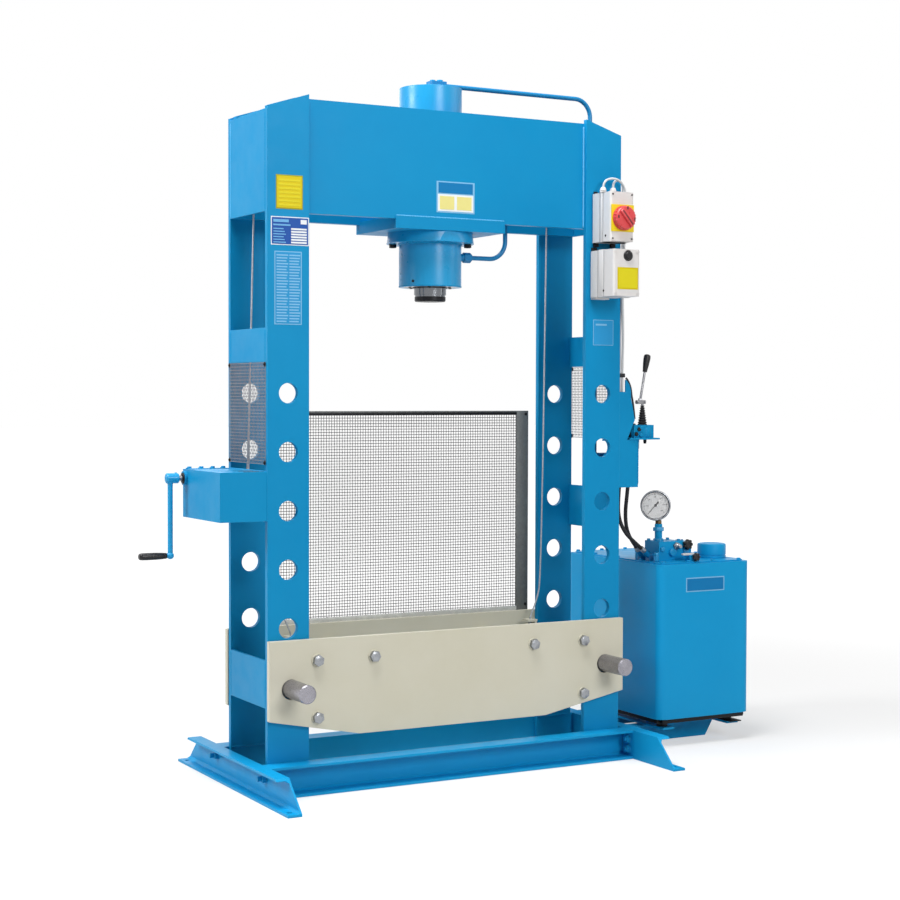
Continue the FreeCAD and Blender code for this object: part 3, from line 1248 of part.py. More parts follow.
keep(turned("lever_boot", [
    ("boot_size * 0.36", "0"), ("boot_size / 2", "0"), ("boot_size / 2", "boot_high / 8"),
    ("boot_size * 0.4", "boot_high / 5"), ("boot_size * 0.46", "boot_high * 0.3"),
    ("boot_size * 0.36", "boot_high * 0.4"), ("boot_size * 0.42", "boot_high / 2"),
    ("boot_size * 0.32", "boot_high * 0.6"), ("boot_size * 0.38", "boot_high * 0.7"),
    ("boot_size * 0.28", "boot_high * 0.8"), ("boot_size * 0.34", "boot_high * 0.9"),
    ("boot_size * 0.24", "boot_high"), ("rod_size / 2 + slide_gap", "boot_high"),
    ("boot_size * 0.2", "boot_high * 0.9")], "lever_at", "-valve_front", "valve_high"))

# The lever: a ball in the valve, an upright stem, a yoke and a leaning rod with its handle.
ball = doc.addObject("Part::Sphere", "lever_ball")
bind(ball, "Radius", "ball_size / 2")
place(ball, "lever_at", "-valve_front", "ball_high")
lever_stem = rod("lever_stem", "rod_size", "yoke_low - ball_high", "lever_at", "-valve_front", "ball_high")
yoke = box("lever_yoke", "yoke_left", "yoke_right", "-(valve_front + yoke_half)",
           "-(valve_front - yoke_half)", "yoke_low", "yoke_high")
LEAN = Rotation(Vector(0, 1, 0), size_of("lever_lean"))
lever_rod = rod("lever_rod", "rod_size", "rod_length", "rod_at", "-valve_front",
                "yoke_high - yoke_half / 2", LEAN)
handle = turned("lever_handle", [
    ("0", "rod_length - handle_length / 8"), ("handle_size * 0.3", "rod_length - handle_length / 8"),
    ("handle_size * 0.46", "rod_length + handle_length / 8"),
    ("handle_size / 2", "rod_length + handle_length / 2"),
    ("handle_size * 0.42", "rod_length + handle_length * 0.78"),
    ("handle_size * 0.2", "rod_length + handle_length * 7 / 8"),
    ("0", "rod_length + handle_length * 7 / 8")],
    "rod_at", "-valve_front", "yoke_high - yoke_half / 2", LEAN)
keep(fuse("valve_lever", [ball, lever_stem, yoke, lever_rod, handle]))

# ---------------------------------------------------------------- power pack
def rounded_plan(name, left, right, front, back, radius, low, high):
    """An upright block with a rounded plan."""
    block = box(name + "_block", left, right, front, back, low, high)
    doc.recompute()
    rounded = doc.addObject("Part::Fillet", name)
    rounded.Base = block
    upright = [i for i, edge in enumerate(block.Shape.Edges, start=1)
               if abs(edge.tangentAt(edge.FirstParameter).z) > 0.9]
    rounded.Edges = [(i, size_of(radius), size_of(radius)) for i in upright]
    return rounded


tank_skin = rounded_plan("tank_skin", "tank_left", "tank_right", "-tank_front", "tank_back",
                         "tank_round", "tank_low", "tank_high")
tank_room = rounded_plan("tank_room", "tank_left + tank_sheet", "tank_right - tank_sheet",
                         "tank_sheet - tank_front", "tank_back - tank_sheet",
                         "tank_round - tank_sheet", "tank_low + tank_sheet",
                         "tank_high - tank_sheet")
mouth = box("tank_mouth", "block_left + lid_inset", "filler_at + filler_neck / 2",
            "-block_half + lid_inset", "tank_back / 2", "tank_high - 2 * tank_sheet",
            "tank_high + tank_sheet")
keep(cut("oil_tank", tank_skin, fuse("tank_inside", [tank_room, mouth])))

filler_bore = rod("lid_filler_bore", "filler_neck - 4 * tank_sheet", "4 * lid_thick", "filler_at",
                  "0", "tank_high - 2 * lid_thick")
lid = rounded_plan("lid_blank", "tank_left + lid_inset", "tank_right - lid_inset",
                   "lid_inset - tank_front", "tank_back - lid_inset", "tank_round",
                   "tank_high", "tank_high + lid_thick")
neck = turned("filler_neck_ring", [
    ("filler_neck / 2 - 2 * tank_sheet", "tank_high"), ("filler_neck / 2", "tank_high"),
    ("filler_neck / 2", "filler_neck_high"),
    ("filler_neck / 2 - 2 * tank_sheet", "filler_neck_high")], "filler_at")
keep(fuse("tank_lid", [cut("lid_bored", lid, filler_bore), neck]))

keep(turned("filler_cap", [
    ("0", "filler_neck_high"), ("filler_neck / 2 + slide_gap", "filler_neck_high"),
    ("filler_neck / 2 + slide_gap", "tank_high + lid_thick + slide_gap"),
    ("filler_size / 2", "tank_high + lid_thick + slide_gap"),
    ("filler_size / 2", "filler_high - lid_thick"), ("filler_size / 2 - lid_thick", "filler_high"),
    ("0", "filler_high")], "filler_at"))


def skid(name, y):
    """A channel on the floor that reaches from the right foot to under the tank."""
    left = "foot_inner + foot_width"
    outline = [(left, "0"), ("skid_right_low", "0"), ("skid_right_high", "skid_high"),
               (left, "skid_high")]
    body = plate(name + "_bar", "XZ_Plane", outline, "skid_deep", "%s + skid_deep / 2" % y)
    room = box(name + "_room", left + " - channel_web", "skid_right_high + channel_web",
               "%s + channel_web" % y, "%s + skid_deep + channel_web" % y,
               "channel_web", "skid_high - channel_web")
    return cut(name, body, room)


def cross_bar(name, x):
    """A flat bar across both skids under the tank."""
    return box(name, x, "%s + cross_wide" % x, "-cross_front", "cross_back", "skid_high",
               "skid_high + cross_thick")


keep(group("pack_skid", [skid("skid_front_bar", "skid_front"), skid("skid_back_bar", "skid_back"),
                         cross_bar("cross_bar_left", "cross_left"),
                         cross_bar("cross_bar_right", "cross_right")]))

mounts = []
for column, x in enumerate(("cross_left", "cross_right")):
    for row, y in enumerate(("-cross_front + rubber_size", "cross_back - rubber_size")):
        mounts.append(rod("rubber_%d%d" % (column, row), "rubber_size",
                          "tank_low - skid_high - cross_thick", "%s + cross_wide / 2" % x, y,
                          "skid_high + cross_thick"))
keep(group("rubber_mounts", mounts))

keep(fuse("oil_block", [
    box("oil_block_tower", "block_left", "block_right", "-block_half", "block_half",
        "lid_top", "block_high"),
    rod("gauge_adapter", "adapter_size", "adapter_high - block_high", "gauge_at", "0", "block_high")]))


def knob_stem_well(name, x, y, z):
    """The bore that a valve knob's stem turns in, from a valve's front inwards."""
    return rod(name, "stem_wide + 2 * slide_gap", "2 * stem_deep", x, y + " - stem_deep + slide_gap", z, TURN_Y)


relief = box("relief_block", "block_right", "relief_right", "-relief_half", "relief_half",
             "lid_top", "relief_high")
relief_valve = cut("relief_valve", relief, knob_stem_well("relief_well", "relief_knob_at", "-relief_half",
                                                          "relief_knob_high"))
release = box("release_block", "release_left", "release_right", "-release_front", "-release_back",
              "lid_top", "release_high")
release_bar = box("release_bar", "release_right - release_lever", "release_right",
                  "-(release_front - release_lever_thick)", "-(release_front - 3 * release_lever_thick)",
                  "release_high", "release_high + release_lever_thick")
release_middle = "(release_left + release_right) / 2"
release_valve = cut("release_valve", fuse("release_body", [release, release_bar]),
                    knob_stem_well("release_well", release_middle, "-release_front",
                                   "release_knob_high"))
keep(group("hand_valves", [relief_valve, release_valve]))


def hand_knob(name, size, thick, x, y, z):
    """A black hand knob with a bevelled rim, and its stem behind."""
    return keep(turned(name, [
        ("0", "-" + thick), ("%s * 0.36" % size, "-" + thick), ("%s / 2" % size, "-%s * 3 / 4" % thick),
        ("%s / 2" % size, "-%s / 4" % thick), ("%s * 0.3" % size, "0"), ("stem_wide / 2", "0"),
        ("stem_wide / 2", "stem_deep"), ("0", "stem_deep")], x, y + " - slide_gap", z, TURN_Y))


hand_knob("relief_knob", "relief_knob_size", "relief_knob_thick", "relief_knob_at", "-relief_half",
          "relief_knob_high")
hand_knob("release_knob", "release_knob_size", "release_knob_thick", release_middle,
          "-release_front", "release_knob_high")

# The gauge: its case, rim, dial and stem are one unit; its face looks to the front left.
gauge_turn = Rotation(Vector(0, 0, 1), -size_of("gauge_turn")) * TURN_Y
gauge_case = turned("gauge_case", [
    ("0", "0"), ("gauge_size / 2 - gauge_rim / 2", "0"), ("gauge_size / 2", "-gauge_rim"),
    ("gauge_size / 2", "gauge_rim - gauge_thick"),
    ("gauge_size / 2 - gauge_rim / 3", "-gauge_thick"),
    ("gauge_size / 2 - gauge_rim", "-gauge_thick"),
    ("gauge_size / 2 - gauge_rim", "gauge_well - gauge_thick"), ("0", "gauge_well - gauge_thick")],
    "gauge_at", "gauge_thick / 2", "gauge_high", gauge_turn)
stem = rod("gauge_stem", "stem_size", "gauge_high - adapter_high - gauge_size / 2 + gauge_rim",
           "gauge_at", "0", "adapter_high")
keep(fuse("pressure_gauge", [gauge_case, stem]))


def needle_shape():
    """A pointer with a round boss, drawn flat and made thick."""
    reach, half = size_of("needle_length"), size_of("needle_wide / 2")
    thick = size_of("needle_thick")
    tail = [Vector(-half, 0, -reach / 3), Vector(half, 0, -reach / 3), Vector(half / 3, 0, reach),
            Vector(-half / 3, 0, reach)]
    blade = Part.Face(Part.makePolygon(tail + tail[:1])).extrude(Vector(0, thick, 0))
    boss = Part.makeCylinder(2 * half, thick, Vector(), Vector(0, 1, 0))
    return blade.fuse(boss).removeSplitter()


needle = feature("gauge_needle", needle_shape())
facing = Rotation(Vector(0, 0, 1), -size_of("gauge_turn"))
offset = facing.multVec(Vector(0, size_of("gauge_thick - gauge_well + needle_thick + slide_gap"), 0))
needle.Placement = Placement(Vector(size_of("gauge_at"), size_of("gauge_thick / 2"),
                                    size_of("gauge_high")) - offset,
                             facing * Rotation(Vector(0, 1, 0), -size_of("needle_rest")))
keep(needle)

# ---------------------------------------------------------------- pipes and hoses
bend = size_of("pipe_bend")
top_pipe = tube([
    spot("top_port_right", "0", "top_pipe_high"), spot("riser_at", "0", "top_pipe_high"),
    spot("riser_at", "0", "top_exit"), spot("port_left", "0", "top_exit"),
    spot("port_left", "0", "pipe_port"), spot("port_left", "-port_back", "pipe_port")],
    [size_of("sweep_bend"), bend, bend, bend], size_of("pipe_size"))
low_pipe = tube([
    spot("low_nut_right", "0", "low_port_high"), spot("low_pipe_at", "0", "low_port_high"),
    spot("low_pipe_at", "0", "low_pipe_high"), spot("riser_at", "-low_riser", "low_pipe_high"),
    spot("riser_at", "-low_riser", "low_exit"), spot("port_right", "-low_riser", "low_exit"),
    spot("port_right", "-low_riser", "pipe_port"), spot("port_right", "-port_back", "pipe_port")],
    [size_of("sweep_bend"), bend, bend, bend, bend, bend], size_of("pipe_size"))
keep(group("oil_pipes", [feature("oil_pipe_top", top_pipe), feature("oil_pipe_low", low_pipe)]))

low_port = cut("low_port", rod("low_port_stub", "low_port_size", "low_nut_left", "0", "0",
                               "low_port_high", TURN_X),
               rod("low_port_inside", "barrel_size", "4 * low_port_size", "0", "0",
                   "low_port_high - 2 * low_port_size"))
low_nut = hexagon("low_nut", "low_nut_flats", "low_nut_right - low_nut_left", "low_nut_left", "0",
                  "low_port_high", TURN_X)
top_port = box("top_port", "top_port_left", "top_port_right", "-top_port_half", "top_port_half",
               "barrel_high", "barrel_high + top_port_high")


def hose_elbow(name, x):
    """An elbow on the valve's back whose hose end points down."""
    corners = [spot(x, "-port_back", "hose_port"), spot(x, "hose_elbow - port_back", "hose_port"),
               spot(x, "hose_elbow - port_back", "hose_start")]
    return feature(name, tube(corners, [size_of("hose_end * 3 / 4")], size_of("hose_end")))


# The hoses hang from the valve to the oil block; their points are chosen by eye.
LEFT_HOSE = [(0, 0, -95), (-1, 7, -190), (3, 20, -265), (29, 34, -320), (73, 48, -362), (118, 58, -399)]
RIGHT_HOSE = [(0, 0, -90), (1, 11, -180), (3, 33, -255), (18, 56, -315), (45, 78, -361), (78, 96, -399)]


def hose_points(port, steps):
    """The points of a hose from its elbow on the valve."""
    start = spot(port, "hose_elbow - port_back", "hose_start")
    return [start] + [start + Vector(*step) for step in steps]


hoses = []
fittings = [low_port, low_nut, top_port, hose_elbow("elbow_left", "port_left"),
            hose_elbow("elbow_right", "port_right")]
for name, port, steps in (("oil_hose_left", "port_left", LEFT_HOSE),
                          ("oil_hose_right", "port_right", RIGHT_HOSE)):
    points = hose_points(port, steps)
    hoses.append(feature(name, cord(name, points, size_of("hose_size"))))
    ahead = (points[-1] - points[-2]).normalize()
    length, radius = size_of("hose_end_length"), size_of("hose_end / 2")
    sleeve = Part.makeCylinder(radius, length, points[-1], ahead)
    end = points[-1] + ahead * length
    floor, side = size_of("lid_top"), size_of("block_left")
    half = radius + size_of("elbow_wall")
    elbow = Part.makeBox(side - end.x + radius, 2 * half, end.z - floor + radius,
                         Vector(end.x - radius, end.y - half, floor))
    fittings.append(feature(name + "_fitting", elbow.fuse(sleeve).removeSplitter()))
keep(group("oil_hoses", hoses))
keep(group("pipe_fittings", fittings))

# ---------------------------------------------------------------- check and write
doc.recompute()
for obj in doc.Objects:
    if "Invalid" in obj.State or "Error" in obj.State:
        raise RuntimeError("%s failed: %s" % (obj.Label, obj.State))
for obj in nodes:
    if obj.Shape.isNull() or not obj.Shape.isValid() or not obj.Shape.Solids:
        raise RuntimeError("%s has no valid solid" % obj.Label)
    obj.Shape.exportStep("parts/%s.step" % obj.Label)
print(len(nodes), "sub-parts")
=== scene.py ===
"""Looks of a workshop hydraulic press: enamel, steel, guards, ropes, switches, gauge and oil pack.

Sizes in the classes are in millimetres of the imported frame: X to the right, Y to the back, Z up,
with the origin on the floor under the ram. Meshes are scaled to metres when a piece is finished.
"""
import contextlib
import logging
import math
from dataclasses import dataclass
from enum import Enum
from typing import Iterator, Sequence

import bmesh
import bpy
from mathutils import Matrix, Vector


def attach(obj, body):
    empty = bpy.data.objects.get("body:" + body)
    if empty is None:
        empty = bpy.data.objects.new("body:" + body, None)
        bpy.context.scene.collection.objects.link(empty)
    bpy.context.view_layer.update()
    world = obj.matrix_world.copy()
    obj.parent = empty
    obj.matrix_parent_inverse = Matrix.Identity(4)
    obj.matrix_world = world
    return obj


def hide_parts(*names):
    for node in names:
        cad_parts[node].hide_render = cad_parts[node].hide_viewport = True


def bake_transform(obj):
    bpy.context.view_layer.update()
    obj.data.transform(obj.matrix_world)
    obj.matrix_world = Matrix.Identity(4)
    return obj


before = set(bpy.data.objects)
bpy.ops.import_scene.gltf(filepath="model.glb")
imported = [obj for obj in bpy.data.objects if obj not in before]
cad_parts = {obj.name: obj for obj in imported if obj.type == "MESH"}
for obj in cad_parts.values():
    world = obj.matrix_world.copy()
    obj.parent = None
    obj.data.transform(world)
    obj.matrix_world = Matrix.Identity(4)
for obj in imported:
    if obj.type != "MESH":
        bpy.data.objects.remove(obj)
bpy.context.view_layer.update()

logging.basicConfig(level=logging.INFO, format="%(message)s")
log = logging.getLogger("press")

MM = 0.001
UP, DOWN, FRONT, LEFT = (0, 0, 1), (0, 0, -1), (0, -1, 0), (-1, 0, 0)
Point = Sequence[float]
Pair = tuple[float, float]
Triple = tuple[float, float, float]
Quad = tuple[float, float, float, float]
Value = bpy.types.NodeSocket


# ------------ colour and nodes
def linear(code: str) -> Quad:
    """Turn an sRGB hex colour into a linear one.

    Args:
        code: six hex digits, with or without a leading hash.

    Returns:
        Red, green, blue and an alpha of 1.
    """
    digits = code.lstrip("#")
    parts = [int(digits[i:i + 2], 16) / 255 for i in (0, 2, 4)]
    straight = [c / 12.92 if c <= 0.04045 else ((c + 0.055) / 1.055) ** 2.4 for c in parts]
    return straight[0], straight[1], straight[2], 1.0


def add(tree: bpy.types.NodeTree, kind: str, inputs: dict | None = None, **settings) -> bpy.types.Node:
    """Add a node with its settings and what goes into its sockets.

    Args:
        tree: the node tree.
        kind: the node's type name.
        inputs: socket name or number to an output socket or a plain value.
        settings: attributes of the node itself.

    Returns:
        The new node.
    """
    node = tree.nodes.new(kind)
    for key, value in settings.items():
        setattr(node, key, value)
    for key, value in (inputs or {}).items():
        if isinstance(value, Value):
            tree.links.new(value, node.inputs[key])
        else:
            node.inputs[key].default_value = value
    return node


def emptied(holder: bpy.types.Material | bpy.types.World) -> bpy.types.NodeTree:
    """Switch a holder's nodes on and take the default ones out.

    Args:
        holder: a material or a world.

    Returns:
        Its empty node tree.
    """
    holder.use_nodes = True
    holder.node_tree.nodes.clear()
    return holder.node_tree


def per_metre(size_mm: float) -> float:
    """A texture scale at which one feature is about this many millimetres wide."""
    return 1.0 / (size_mm * MM)


class Slot(Enum):
    """The record's material slots."""

    BLUE = "blue_paint"
    SAND = "sand_paint"
    STEEL = "bare_steel"
    ZINC = "zinc_steel"
    CHROME = "chrome"
    DARK = "dark_steel"
    BLACK = "black_plastic"
    WHITE = "white_plastic"
    YELLOW = "yellow_plastic"
    RED = "red_plastic"
    RUBBER = "rubber"
    NEEDLE = "needle"


@dataclass(frozen=True)
class Coat:
    """One material in the making: its nodes, its shader and the object coordinates."""

    tree: bpy.types.NodeTree
    shader: bpy.types.Node
    place: Value

    def noise(self, size_mm: float, detail: float, roughness: float = 0.5,
              place: Value | None = None) -> Value:
        """Random values over the surface.

        Args:
            size_mm: how wide their patches are.
            detail: how fine their edges are.
            roughness: how much the finer waves count.
            place: other coordinates to read than the object's own.

        Returns:
            The socket that carries them.
        """
        return add(self.tree, "ShaderNodeTexNoise", {
            "Vector": place or self.place, "Scale": per_metre(size_mm), "Detail": detail,
            "Roughness": roughness}).outputs["Fac"]

    def remap(self, value: Value, low: float, high: float, start: float = 0.3,
              end: float = 0.7) -> Value:
        """Stretch a value to another range.

        Args:
            value: the value.
            low: what its start becomes.
            high: what its end becomes.
            start: where its own range starts.
            end: where its own range ends.

        Returns:
            The socket that carries the stretched value.
        """
        return add(self.tree, "ShaderNodeMapRange", {
            "Value": value, "From Min": start, "From Max": end, "To Min": low,
            "To Max": high}).outputs["Result"]

    def wander(self, size_mm: float, low: float, high: float, detail: float = 3.0) -> Value:
        """A slow random value over the surface.

        Args:
            size_mm: how wide its patches are.
            low: its least value.
            high: its greatest value.
            detail: how fine its edges are.

        Returns:
            The socket that carries the value.
        """
        return self.remap(self.noise(size_mm, detail, 0.55), low, high, 0.32, 0.68)

    def mix(self, amount: Value, first: str | Value, second: str) -> Value:
        """Mix two colours.

        Args:
            amount: the share of the second colour.
            first: a hex colour or a colour socket.
            second: a hex colour.

        Returns:
            The mixed colour.
        """
        under = linear(first) if isinstance(first, str) else first
        return add(self.tree, "ShaderNodeMix", {0: amount, 6: under, 7: linear(second)},
                   data_type="RGBA").outputs[2]

    def rounded(self, radius_mm: float, samples: int = 3) -> Value:
        """The surface's normal with every edge rounded off.

        Args:
            radius_mm: the edges' radius.
            samples: how often each edge is felt for.

        Returns:
            The normal.
        """
        return add(self.tree, "ShaderNodeBevel", {"Radius": radius_mm * MM}, samples=samples).outputs[0]

    def feed(self, name: str, value: Value) -> None:
        """Lead a value into one of the shader's sockets."""
        self.tree.links.new(value, self.shader.inputs[name])

    def relief(self, height: Value, strength: float, deep_mm: float, normal: Value) -> None:
        """Raise and sink the surface.

        Args:
            height: the value that it follows.
            strength: how much it counts.
            deep_mm: its depth.
            normal: the surface's normal before.
        """
        bump = add(self.tree, "ShaderNodeBump", {"Height": height, "Strength": strength,
                                                 "Distance": deep_mm * MM, "Normal": normal})
        self.feed("Normal", bump.outputs["Normal"])


@dataclass(frozen=True)
class Finish:
    """A surface finish: the base of every material here."""

    name: str
    colour: str
    slot: Slot
    roughness: float = 0.5
    metallic: float = 0.0
    ior: float = 1.5
    coat: float = 0.0
    specular: float = 0.5

    def material(self) -> bpy.types.Material:
        """Build the finish's material, or give the one built before.

        Returns:
            The material, named for the finish.
        """
        known = bpy.data.materials.get(self.name)
        if known is not None:
            return known
        made = bpy.data.materials.new(self.name)
        tree = emptied(made)
        shader = add(tree, "ShaderNodeBsdfPrincipled", {
            "Base Color": linear(self.colour), "Metallic": self.metallic, "Roughness": self.roughness,
            "IOR": self.ior, "Specular IOR Level": self.specular, "Coat Weight": self.coat,
            "Coat Roughness": 0.12})
        self.dress(Coat(tree, shader, add(tree, "ShaderNodeTexCoord").outputs["Object"]))
        add(tree, "ShaderNodeOutputMaterial", {"Surface": shader.outputs["BSDF"]})
        made.diffuse_color = linear(self.colour)
        return made

    def dress(self, coat: Coat) -> None:
        """Add the finish's own pattern to a material in the making."""


@dataclass(frozen=True)
class Enamel(Finish):
    """Sprayed two-pack enamel on steel: smooth and glossy with a faint orange peel, a little paler
    where it has dusted, and paler over the edges, where the paint runs thin and a highlight is painted."""

    pale: str = "#FFFFFF"
    # Colour over the edges: partly thin paint, partly a painted highlight.
    edge: str = "#FFFFFF"
    edge_mm: float = 1.6
    cloud_mm: float = 420.0
    speck_mm: float = 26.0
    gloss_mm: float = 60.0
    peel_mm: float = 5.0

    def dress(self, coat: Coat) -> None:
        """Add clouds, dust, paler edges (thin paint and a painted highlight) and orange peel.

        Args:
            coat: the material in the making.
        """
        body = coat.mix(coat.wander(self.cloud_mm, 0.0, 0.55), self.colour, self.pale)
        body = coat.mix(coat.wander(self.speck_mm, 0.0, 0.10, 6.0), body, self.pale)
        edges = coat.rounded(self.edge_mm, 4)
        flat = add(coat.tree, "ShaderNodeNewGeometry").outputs["Normal"]
        turn = add(coat.tree, "ShaderNodeVectorMath", {0: edges, 1: flat}, operation="DOT_PRODUCT")
        # Paler edges: thin paint there, and a painted highlight.
        thin_paint_and_highlight = coat.remap(turn.outputs["Value"], 0.0, 0.45, 0.99, 0.86)
        coat.feed("Base Color", coat.mix(thin_paint_and_highlight, body, self.edge))
        coat.feed("Roughness", coat.wander(self.gloss_mm, self.roughness - 0.05, self.roughness + 0.08))
        coat.relief(coat.noise(self.peel_mm, 1.5), 0.05, 0.6, edges)


@dataclass(frozen=True)
class Metal(Finish):
    """Bare, plated or blackened metal, with the fine lines of how it was cut along one direction
    and a slow change of tone from handling."""

    tone: str = "#FFFFFF"
    lines: Triple = (1.0, 1.0, 1.0)
    line_mm: float = 1.2
    depth: float = 0.12
    patch_mm: float = 40.0
    edge_mm: float = 0.6

    def dress(self, coat: Coat) -> None:
        """Add cutting lines and patches of another tone.

        Args:
            coat: the material in the making.
        """
        body = coat.mix(coat.wander(self.patch_mm, 0.0, 0.8, 5.0), self.colour, self.tone)
        along = add(coat.tree, "ShaderNodeMapping", {"Vector": coat.place, "Scale": self.lines})
        cuts = coat.noise(self.line_mm, 2.0, place=along.outputs["Vector"])
        coat.feed("Base Color", coat.mix(coat.remap(cuts, 0.0, 0.35), body, self.tone))
        coat.feed("Roughness", coat.remap(cuts, self.roughness - 0.06, self.roughness + 0.1))
        coat.relief(cuts, self.depth, 0.2, coat.rounded(self.edge_mm))


@dataclass(frozen=True)
class Moulded(Finish):
    """Moulded plastic, film or rubber: one colour through, with fine grit, a little dust and soft
    edges."""

    dusty: str = "#FFFFFF"
    dust: float = 0.12
    dust_mm: float = 18.0
    gloss_mm: float = 12.0
    grit_mm: float = 0.9
    depth: float = 0.15
    edge_mm: float = 0.8

    def dress(self, coat: Coat) -> None:
        """Add dust, grit and an uneven gloss.

        Args:
            coat: the material in the making.
        """
        coat.feed("Base Color", coat.mix(coat.wander(self.dust_mm, 0.0, self.dust, 5.0), self.colour,
                                         self.dusty))
        coat.feed("Roughness", coat.wander(self.gloss_mm, self.roughness - 0.06, self.roughness + 0.08))
        coat.relief(coat.noise(self.grit_mm, 1.0), self.depth, 0.15, coat.rounded(self.edge_mm))


@dataclass(frozen=True)
class Lens(Finish):
    """Clear window glass over a dial."""

    def dress(self, coat: Coat) -> None:
        """Let the light through."""
        coat.shader.inputs["Transmission Weight"].default_value = 1.0


def film(name: str, colour: str, slot: Slot, dusty: str) -> Moulded:
    """Printed polyester film of one colour.

    Args:
        name: its name.
        colour: its colour.
        slot: its slot.
        dusty: its colour under dust.

    Returns:
        The finish.
    """
    return Moulded(name, colour, slot, roughness=0.4, specular=0.15, dusty=dusty)


# Where blue enamel runs thin over an edge, with a painted highlight on it.
BLUE_THIN_EDGE_AND_HIGHLIGHT = "#46AEDD"
# Two-pack enamel in sky blue, sprayed and glossy: a clean cool blue, cloudy at arm's length.
BLUE = Enamel("blue_enamel", "#0A85BA", Slot.BLUE, roughness=0.38, specular=0.11, pale="#1290C3",
              edge=BLUE_THIN_EDGE_AND_HIGHLIGHT)
# The same enamel where it lies thick on turned parts, so that a lamp stands in it as a bright line.
BLUE_TURNED = Enamel("blue_enamel_on_turned_parts", "#0E90C6", Slot.BLUE, roughness=0.3, specular=0.4,
                     pale="#1C9CD0", edge=BLUE_THIN_EDGE_AND_HIGHLIGHT)
# The same enamel, painted lighter on the feet, the base beams and the tank: painted light in place of the
# light that falls on them.
BLUE_PAINTED_LIGHTER = Enamel("blue_enamel_painted_lighter", "#0C94CC", Slot.BLUE, roughness=0.36, specular=0.14,
                    pale="#189ED4", edge=BLUE_THIN_EDGE_AND_HIGHLIGHT)
# The same enamel on pipes, darker: painted shade.
BLUE_PIPE_SHADED = Enamel("blue_enamel_on_pipes_painted_shade", "#0A76AC", Slot.BLUE, roughness=0.3, specular=0.3,
                   pale="#1280B4", edge=BLUE_THIN_EDGE_AND_HIGHLIGHT)
# The same enamel on weld beads and sealed seams: wet-looking, and pale with a painted highlight.
BLUE_BEAD_HIGHLIGHT = Enamel("blue_enamel_on_beads_painted_highlight", "#46A4D4", Slot.BLUE, roughness=0.3, specular=0.4,
                   pale="#68B6DE", edge="#9AD2EE")
# The same enamel in pebble grey on the bed: warm, flatter, with soft clouds.
SAND = Enamel("pebble_enamel", "#C8C4B0", Slot.SAND, roughness=0.46, specular=0.3, pale="#D2CFC0",
              edge="#E0DDD0")
# Turned mild steel of the pins: bright, with lathe lines round it, greyed by oil.
PIN = Metal("turned_mild_steel", "#A19FA6", Slot.STEEL, roughness=0.28, metallic=0.95, tone="#84838A",
            lines=(0.15, 1.0, 0.15), line_mm=0.9, depth=0.10)
# Cold drawn bar with lines along X for shafts.
SHAFT = Metal("drawn_steel_bar", "#9A9A9D", Slot.STEEL, roughness=0.32, metallic=1.0, tone="#77777B",
              lines=(1.0, 0.2, 0.2), depth=0.08)
# Cast and machined steel of the drum, dull.
CAST = Metal("machined_casting", "#7C7D80", Slot.STEEL, roughness=0.48, metallic=1.0, tone="#5E5F63")
# Bright zinc plate on bed bolts, pulleys, ferrules and crimps: bluish, patchy.
ZINC = Metal("bright_zinc_plate", "#A4A7AB", Slot.ZINC, roughness=0.28, metallic=1.0, tone="#7F8286",
             patch_mm=14, depth=0.06)
# Hot-dip galvanised steel of the guard's bars and the gauge's case: dull grey with spangles.
GALVANISED = Metal("galvanised_bar", "#6E7170", Slot.ZINC, roughness=0.6, metallic=0.35, tone="#5F6262",
                   line_mm=7.0, depth=0.10, patch_mm=16)
# Galvanised strip at the mesh's foot, paler than the bars.
STRIP = Metal("galvanised_strip", "#C9CAC6", Slot.ZINC, roughness=0.5, metallic=0.2, tone="#B0B2AF",
              patch_mm=18)
# Pressed stainless rim of the gauge.
BEZEL = Metal("pressed_stainless", "#9FA1A4", Slot.ZINC, roughness=0.3, metallic=1.0, tone="#7C7E82",
              patch_mm=10, depth=0.04)
# Galvanised wire of the rear guard: thin, grey, little shine.
WIRE = Metal("galvanised_wire", "#6B6B6C", Slot.ZINC, roughness=0.5, metallic=0.4, tone="#555557",
             patch_mm=30)
# The same wire, still bright, over the columns' open sides.
WIRE_BRIGHT = Metal("bright_galvanised_wire", "#9C9EA2", Slot.ZINC, roughness=0.5, metallic=0.25,
                    tone="#828488", patch_mm=30)
# Steel wire rope, bright and oily, with dark valleys.
ROPE = Metal("wire_rope_steel", "#C4C8CC", Slot.ZINC, roughness=0.45, metallic=0.6, tone="#9599A0",
             patch_mm=8)
# Hard chrome on the ram: a grey mirror with faint polishing rings.
CHROME = Metal("hard_chrome", "#7A7D81", Slot.CHROME, roughness=0.13, metallic=1.0, tone="#6E7175",
               lines=(0.1, 0.1, 1.0), line_mm=0.8, depth=0.04, patch_mm=60)
# Black-oxide steel of screws, clips and the nose: nearly black with a dull shine. Its near black also paints
# shade on thin plates in the winch's slots and under the tank, and in part on the bolts under the flange.
BLACKENED = Metal("black_oxide_steel", "#0E0F12", Slot.DARK, roughness=0.4, metallic=0.15,
                  specular=0.2, tone="#191A1E", patch_mm=12)
# Brass of the gauge's nut, browned.
BRASS = Metal("browned_brass", "#6A573C", Slot.ZINC, roughness=0.42, metallic=0.8, tone="#4F3F2A",
              patch_mm=9)
# Phenolic resin of knobs, grips and the push button: deep black, glossy from hands.
PHENOLIC = Moulded("black_phenolic", "#121215", Slot.BLACK, roughness=0.3, specular=0.35, dusty="#26262A")
# Grey polycarbonate of the boxes: light, faintly warm, satin.
POLYCARBONATE = Moulded("grey_polycarbonate", "#D7D4D2", Slot.WHITE, roughness=0.42, dusty="#C8C5C2",
                        dust=0.2)
